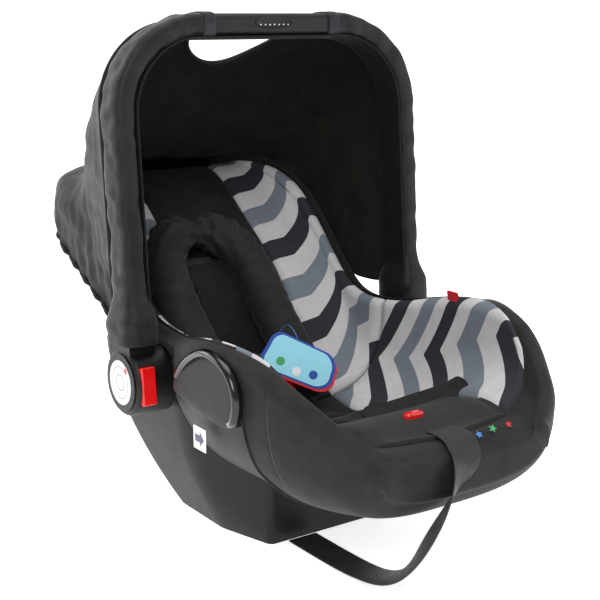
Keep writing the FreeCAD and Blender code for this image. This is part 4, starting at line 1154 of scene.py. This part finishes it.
def pillow_line(count):
    """The horseshoe's centre line in its own plane, legs running on down to the seat."""
    points = [(-58, -130), (-61, -100), (-63, -60), (-63, 0), (-62, 56), (-52, 98), (-29, 124),
              (0, 130), (29, 124), (52, 98), (61, 56), (61, 0), (59, -60), (57, -100),
              (54, -130)]
    return smooth_line([(x, up, 0.0) for x, up in points], count)


def pillow_place(points):
    """Turns the horseshoe's plane to lie along the sloping back, bending down with the seat."""
    x, up, out = points[..., 0], points[..., 1], points[..., 2]
    y = PILLOW_LOW[0] + up * math.cos(PILLOW_TILT)
    z = PILLOW_LOW[1] + up * math.sin(PILLOW_TILT)
    settle = np.clip(-up / 150.0, 0, 1)
    y = y - 12.0 * settle
    z = z + 14.0 * settle ** 2
    y = y - out * math.sin(PILLOW_TILT)
    z = z + out * math.cos(PILLOW_TILT)
    return place(np.stack([x + PILLOW_X, y, z], -1))


def pillow_tube(line, share, sides=44):
    """The stuffed tube along the line, pinched at its top and thinner towards its two ends."""
    out = np.array([0.0, 0.0, 1.0])
    across = np.cross(tangents(line), out)
    pinch = np.exp(-(share / 0.055) ** 2)
    radius = (PILLOW_RADIUS - PILLOW_SWELL) * (1 - 0.42 * pinch)
    radius = radius * (1 - 0.4 * np.clip((np.abs(share) - 0.8) / 0.2, 0, 1))
    angle = circle(sides)
    sections = (line[:, None] + across[:, None] * (radius[:, None] * np.cos(angle))[..., None]
                + out * (radius[:, None] * np.sin(angle) * 0.92)[..., None])
    return rings(pillow_place(sections))


def gather(pillow, line, share):
    """Ruffles that run along the tube and fade away from its pinched top."""
    points = np.array([v.co for v in pillow.data.vertices], float)
    normals = np.array([v.normal for v in pillow.data.vertices], float)
    centres = pillow_place(line)
    nearest = np.linalg.norm(points[:, None] - centres[None], axis=2).argmin(1)
    from_top = share[nearest]
    spoke = points - centres[nearest]
    tip, root = pillow_place(np.array([[0.0, 0, 1], [0, 0, 0]]))
    out = (tip - root) / MM
    across = np.cross(np.gradient(centres, axis=0)[nearest], out)
    across /= np.linalg.norm(across, axis=1, keepdims=True)
    around = np.arctan2(spoke @ out, (spoke * across).sum(1))
    near_top = np.exp(-(from_top / 0.2) ** 2) * (0.35 + 0.65 * np.abs(np.sin(from_top * 60)))
    ruffle = (np.sin(around * 9 + from_top * 25) * 0.0032 * near_top
              + np.sin(from_top * 140 + around * 2) * 0.0016 * np.exp(-(from_top / 0.3) ** 2))
    ruffle += np.sin(from_top * 90) * 0.0014 * np.exp(-(from_top / 0.6) ** 2)
    pillow.data.vertices.foreach_set("co", (points + normals * ruffle[:, None]).ravel())


PILLOW_ROWS = 170
centre_line = pillow_line(PILLOW_ROWS)
from_middle = np.linspace(-1, 1, PILLOW_ROWS)
pillow = build("insert_pillow", *pillow_tube(centre_line, from_middle), None, "insert")
cloth_puff(pillow, 0.004)
gather(pillow, centre_line, from_middle)
finish_soft(pillow, "seat", ("head_pillow",))


# ------------------------------------------------------------------ harness

STRAP_OFFSET = 25.5
WEBBING_WIDTH = 0.038
WEBBING_THICK = 0.0016
SHOULDER_LINE = [(112, 303), (96, 290), (62, 248), (34, 205), (12, 177)]
for side_name, side in SIDES:
    route = smooth_line([(INSERT_X + side * STRAP_OFFSET, y, z) for y, z in SHOULDER_LINE], 60)
    ribbon("shoulder_webbing_" + side_name, place(route), WEBBING_WIDTH, WEBBING_THICK, "seat",
           "webbing", "webbing", ("shoulder_strap_" + side_name,))
crotch = smooth_line([(INSERT_X, y, z) for y, z in [(-100, 139), (-80, 140.5), (-56, 147)]], 30)
ribbon("crotch_webbing", place(crotch), WEBBING_WIDTH, WEBBING_THICK, "seat", "webbing",
       "webbing", ("crotch_strap",))


def flat_pad(name, route, width, thick, material, ends):
    """A flat stuffed strap cover with rounded edges."""
    line = smooth_line(route, 70)
    return ribbon(name, place(line), width, thick, "seat", material, "insert_fabric", uv=False,
                  ends=ends, curl=-0.002, side_hint=(0.75, -0.6, 0.1))


flat_pad("strap_cover_near", [(-60, -132, 148), (-30, -141, 147), (2, -152, 148),
                                        (24, -160, 151)], 0.034, 0.009, "insert", 0.012)
flat_pad("strap_cover_far", [(14, -152, 152), (44, -170, 158), (78, -186, 168),
                                       (108, -200, 178), (124, -206, 187)], 0.026, 0.007, "insert",
                   0.008)


# ------------------------------------------------------------------ labels, tag, small parts

def plate_on(name, outline, origin, first, second, thick, body, material, slot=None, replaces=(),
             bevel=0.15):
    """A thin plate with a softened edge from an outline in millimetres on two directions."""
    first, second = np.array(first, float), np.array(second, float)
    first /= np.linalg.norm(first)
    second /= np.linalg.norm(second)
    out = np.cross(first, second)
    outline = np.array(outline, float)
    middle = outline.mean(0)
    sections = []
    for scale, level in ((1 - bevel * 0.3, 0.0), (1.0, 0.3), (1.0, 0.7), (1 - bevel * 0.3, 1.0)):
        flat = middle + (outline - middle) * scale
        sections.append(np.array(origin, float) + flat[:, :1] * first + flat[:, 1:] * second
                        + out * thick * level)
    points, faces = rings(place(np.array(sections)))
    return build(name, points, faces, body, material, slot, replaces=replaces, smooth=False)


def rounded_outline(width, height, radius, steps=10):
    corners = [(width / 2 - radius, height / 2 - radius, 0), (radius - width / 2,
               height / 2 - radius, 90), (radius - width / 2, radius - height / 2, 180),
               (width / 2 - radius, radius - height / 2, 270)]
    outline = []
    for cx, cy, first in corners:
        for turn in np.radians(np.linspace(first, first + 90, steps)):
            outline.append((cx + radius * math.cos(turn), cy + radius * math.sin(turn)))
    return outline


LABEL_X = -190.9
LABEL_MIDDLE = (-129.5, 160.5)
plate_on("side_label", rounded_outline(26, 26, 1.5), (LABEL_X, *LABEL_MIDDLE), (0, -1, 0),
         (0, 0, 1), 0.7, "seat", "white", "white_label", ("arrow_label",))
ARROW = [(-9, -4), (1, -4), (1, -8.5), (9.5, 0), (1, 8.5), (1, 4), (-9, 4)]
plate_on("label_arrow", ARROW, (LABEL_X - 0.7, *LABEL_MIDDLE), (0, -1, 0), (0, 0, 1), 0.25,
         "seat", "ink", "white_label", bevel=0.0)

TAG_MIDDLE = np.array([-24.0, -76.0, 207.0])
TAG_SCALE = 0.86
TAG_DOT_RADIUS = 5.2
TAG_DOTS = ((-20, -8, "thread_green"), (2, -12, "white"), (22, -8, "tag_edge"))


def turned(axis, degrees):
    a = math.radians(degrees)
    c, s = math.cos(a), math.sin(a)
    return {"x": np.array([[1, 0, 0], [0, c, -s], [0, s, c]]),
            "y": np.array([[c, 0, s], [0, 1, 0], [-s, 0, c]]),
            "z": np.array([[c, -s, 0], [s, c, 0], [0, 0, 1]])}[axis]


TAG_TURN = turned("z", -32) @ turned("x", -14) @ turned("y", 24)
tag_across, tag_back, tag_up = TAG_TURN.T
cloud = np.array(rounded_outline(102, 54, 19, 14))
angles = np.arctan2(cloud[:, 1], cloud[:, 0])
cloud = cloud * TAG_SCALE * (1 + 0.045 * np.cos(5 * angles + 0.6))[:, None]


def tag_layer(name, scale, shift, depth, thick, material, replaces=()):
    plate_on(name, cloud * scale + np.array(shift), TAG_MIDDLE - tag_back * depth, tag_across,
             tag_up, thick, "seat", material, "tag_card", replaces, bevel=0.02)


tag_layer("tag_back", 1.0, (3.0, -2.5), 0.2, 0.6, "tag_back")
tag_layer("tag_border", 1.0, (0, 0), 0.9, 0.6, "tag_edge", ("swing_tag",))
tag_layer("tag_face", 0.9, (0, 0), 1.5, 0.3, "tag_face")
disc = [(TAG_DOT_RADIUS * math.cos(t), TAG_DOT_RADIUS * math.sin(t)) for t in circle(27)]
for index, (across_mm, up_mm, key) in enumerate(TAG_DOTS):
    spot = TAG_MIDDLE - tag_back * 1.8 + tag_across * across_mm + tag_up * up_mm
    plate_on("tag_dot_%d" % (index + 1), disc, spot, tag_across, tag_up, 0.25, "seat", key,
             "tag_card", bevel=0.02)
loop_from = TAG_MIDDLE + tag_up * 20 - tag_across * 8
string = [loop_from, loop_from + (2, 12, 10), loop_from + (6, 34, 14), (INSERT_X, -12, 196)]
tube("tag_string", place(smooth_line(string, 50)), 0.0005, "seat", "thread_blue",
     (1, 0, 0.1), 6, "tag_card")


# red ribbon folded over the rim, standing as a small loop
RIBBON_SPOT = (171.0, -128.0, 264.0)
RIBBON_WIDTH = 0.017
RIBBON_THICK = 0.0007
RIBBON_PROFILE = [(-2.2, -8.0), (-2.4, 0.0), (-3.5, 7.2), (-3.0, 12.0), (-1.8, 11.52), (-0.5, 6.6),
                  (0.8, 0.0), (0.9, -8.0)]
ribbon_line = smooth_line([(RIBBON_SPOT[0] + a, RIBBON_SPOT[1], RIBBON_SPOT[2] + b)
                           for a, b in RIBBON_PROFILE], 60)
ribbon("rim_ribbon", place(ribbon_line), RIBBON_WIDTH, RIBBON_THICK, "seat", "ribbon",
       "red_ribbon", ("rim_tag",), side_hint=(0, 1, 0), uv=False)

# small embroidered stars on the front bolster: x, y, size, turn, thread
STARS = ((24.0, -333.0, 4.6, 0.3, "thread_blue"), (46.0, -330.0, 5.2, 0.9, "thread_green"),
         (68.0, -331.0, 4.4, 0.1, "thread_red"))
STAR_LIFT = 4.2
STAR_THICK = 0.9
STAR_INNER = 0.45


def star(x, y, size, turn, thread):
    middle = surface(y, float(q_of([y], abs(x), 0, 0)[0])) * (math.copysign(1, x), 1, 1)
    middle = middle + (0, -1.0, STAR_LIFT)
    outline = []
    for i, angle in enumerate(circle(10) + turn):
        reach = size * (1.0 if i % 2 == 0 else STAR_INNER)
        outline.append((reach * math.cos(angle), reach * math.sin(angle)))
    plate_on("star_" + thread.split("_")[1], outline, middle, (1, 0, 0.1), (0, 0.8, 0.6),
             STAR_THICK, "seat", thread, "red_ribbon", bevel=0.2)


for values in STARS:
    star(*values)

# belt guides: a smooth plate with a hooked fin round its front and top; the plate's layers
# are (share of its outline, distance from the middle of the seat)
GUIDE_PLATE = [(-214, 206), (-216, 222), (-212, 240), (-202, 251), (-184, 260), (-160, 262),
               (-132, 252), (-104, 234), (-84, 216), (-82, 207), (-94, 201), (-126, 196),
               (-164, 192), (-198, 192), (-209, 197)]
GUIDE_FIN = [(-200, 198), (-212, 204), (-218, 216), (-216, 238), (-204, 253), (-184, 262),
             (-158, 264), (-132, 255), (-104, 237), (-86, 220)]
GUIDE_LAYERS = ((1.0, 188.0), (1.0, 195.0), (0.985, 196.6), (0.95, 197.2), (0.7, 197.4),
                (0.3, 197.5))
FIN_ROOT = 193.0
FIN_TIP = 205.5
FIN_HALF_THICK = 4.6
FIN_REAR_FALL = 8.0
FIN_FRONT_FALL = 5.0


def guide_plate(name, side):
    outline = smooth_line([(y, z, 0.0) for y, z in GUIDE_PLATE + GUIDE_PLATE[:1]], 90)[:-1, :2]
    middle = outline.mean(0)
    sections = []
    for scale, level in GUIDE_LAYERS:
        flat = middle + (outline - middle) * scale
        sections.append(np.stack([np.full(len(flat), side * level), flat[:, 0], flat[:, 1]], 1))
    points, faces = rings(place(np.array(sections)))
    build("guide_plate_" + name, points, faces, "seat", "shell", "gloss_plastic",
          replaces=("lap_belt_guide_" + name,))


def guide_fin(name, side):
    line = smooth_line([(0.0, y, z) for y, z in GUIDE_FIN], 90)
    share = np.linspace(0, 1, len(line))
    reach = FIN_TIP - FIN_REAR_FALL * np.clip((share - 0.55) / 0.45, 0, 1) ** 1.5
    reach = reach - FIN_FRONT_FALL * np.clip(1 - share / 0.12, 0, 1) ** 2
    half = (reach - FIN_ROOT) / 2
    line[:, 0] = side * (FIN_ROOT + half)
    _, across, up = sweep_frames(line, (1.0, 0.0, 0.0))
    turn = circle(20)
    sections = (line[:, None] + across[:, None] * (half[:, None] * np.cos(turn))[..., None]
                + up[:, None] * (FIN_HALF_THICK * np.sin(turn))[None, :, None])
    points, faces = rings(place(sections))
    build("guide_fin_" + name, points, faces, "seat", "gloss", "gloss_plastic")


for side_name, side in SIDES:
    guide_plate(side_name, side)
    guide_fin(side_name, side)

# release button of the harness, standing out of the bolster: its layers are (share of its
# outline, height)
RELEASE_SIZE = (25.0, 11.0)
RELEASE_CORNER = 4.5
RELEASE_Y = -257.5
RELEASE_LAYERS = ((1.0, 152.0), (1.0, 186.5), (0.94, 188.6), (0.8, 189.6), (0.3, 190.0))
release_sections = []
for scale, level in RELEASE_LAYERS:
    ring = np.array(rounded_outline(*RELEASE_SIZE, RELEASE_CORNER)) * scale
    release_sections.append([(x, y + RELEASE_Y, level) for x, y in ring])
points, faces = rings(place(np.array(release_sections)))
build("release_button", points, faces, "release", "red", "red_plastic",
      replaces=("adjuster_button",))


# ------------------------------------------------------------------ looks of the CAD parts

SINGLE_LOOKS = {
    "shell": ("shell_tub", "rocker_base", "rear_belt_guide", "harness_yoke"),
    "satin": ("buckle_body", "adjuster_housing"),
    "gloss": ("handle_arch",),
    "grip": ("handle_grip",),
    "red": ("buckle_button",),
    "steel": ("base_screws",),
}
PAIRED_LOOKS = {
    "satin": ("hub_housing", "hub_cap", "lock_gear", "hub_plate"),
    "red": ("red_button",),
    "steel": ("pivot_bolt", "tongue"),
    "sticker": ("hub_sticker",),
}


def dress(name, key):
    """Gives one CAD piece a material in every slot it has."""
    node = frame["nodes"][name]
    if not node.material_slots:
        node.data.materials.append(MATERIALS[key])
    for material_slot in node.material_slots:
        material_slot.material = MATERIALS[key]


for key, names in SINGLE_LOOKS.items():
    for name in names:
        dress(name, key)
for key, names in PAIRED_LOOKS.items():
    for name in names:
        for side_name, _ in SIDES:
            dress(name + "_" + side_name, key)


# ------------------------------------------------------------------ studio

def studio_floor():
    """A floor that curves up into a backdrop far behind."""
    profile = [(-9.0, 0.0), (3.0, 0.0), (4.2, 0.12), (5.0, 0.7), (5.4, 2.0), (5.5, 6.0)]
    y = np.array([p[0] for p in profile])
    z = np.array([p[1] for p in profile])
    fine = np.linspace(0, len(profile) - 1, 60)
    line = np.stack([np.interp(fine, range(len(y)), y), np.interp(fine, range(len(z)), z)], 1)
    x = np.linspace(-8, 8, 12)
    points = [(a, b, c) for b, c in line for a in x]
    return build("studio_floor", points, grid_faces(60, 12), None, "floor")


floor_shader = Shader("studio_paper", Roughness=0.9, Specular_IOR_Level=0.1,
                      Emission_Color=(1.0, 1.0, 1.0, 1.0), Emission_Strength=0.7)
floor_shader.colour(floor_shader.ramp(floor_shader.noise(0.5), [(0.3, rgb("f3f3f3")),
                                                                (0.7, rgb("f8f8f8"))]))
MATERIALS["floor"] = floor_shader.material
studio_floor()


def area_light(name, location, target, size, power):
    data = bpy.data.lights.new(name, "AREA")
    data.shape = "RECTANGLE"
    data.size, data.size_y = size
    data.energy = power
    light = bpy.data.objects.new(name, data)
    bpy.context.scene.collection.objects.link(light)
    light.location = location
    aim(light, target)


LIGHTS = (
    # name, location, target, size, power
    ("key_light", (-1.9, -2.2, 2.4), (0, 0, 0.2), (1.6, 1.6), 62.0),
    ("fill_light", (2.3, -1.9, 1.3), (0, 0, 0.25), (1.8, 1.4), 26.0),
    ("top_light", (0.2, 0.2, 2.9), (0, 0, 0.2), (2.0, 2.0), 40.0),
    ("rear_light", (-1.6, 2.2, 1.5), (0, 0, 0.3), (1.5, 1.2), 24.0),
)
for settings in LIGHTS:
    area_light(*settings)

world = bpy.data.worlds.new("studio")
world.use_nodes = True
world.node_tree.nodes["Background"].inputs["Color"].default_value = (1.0, 1.0, 1.0, 1.0)
world.node_tree.nodes["Background"].inputs["Strength"].default_value = 0.45
bpy.context.scene.world = world
bpy.context.scene.view_settings.view_transform = "Standard"
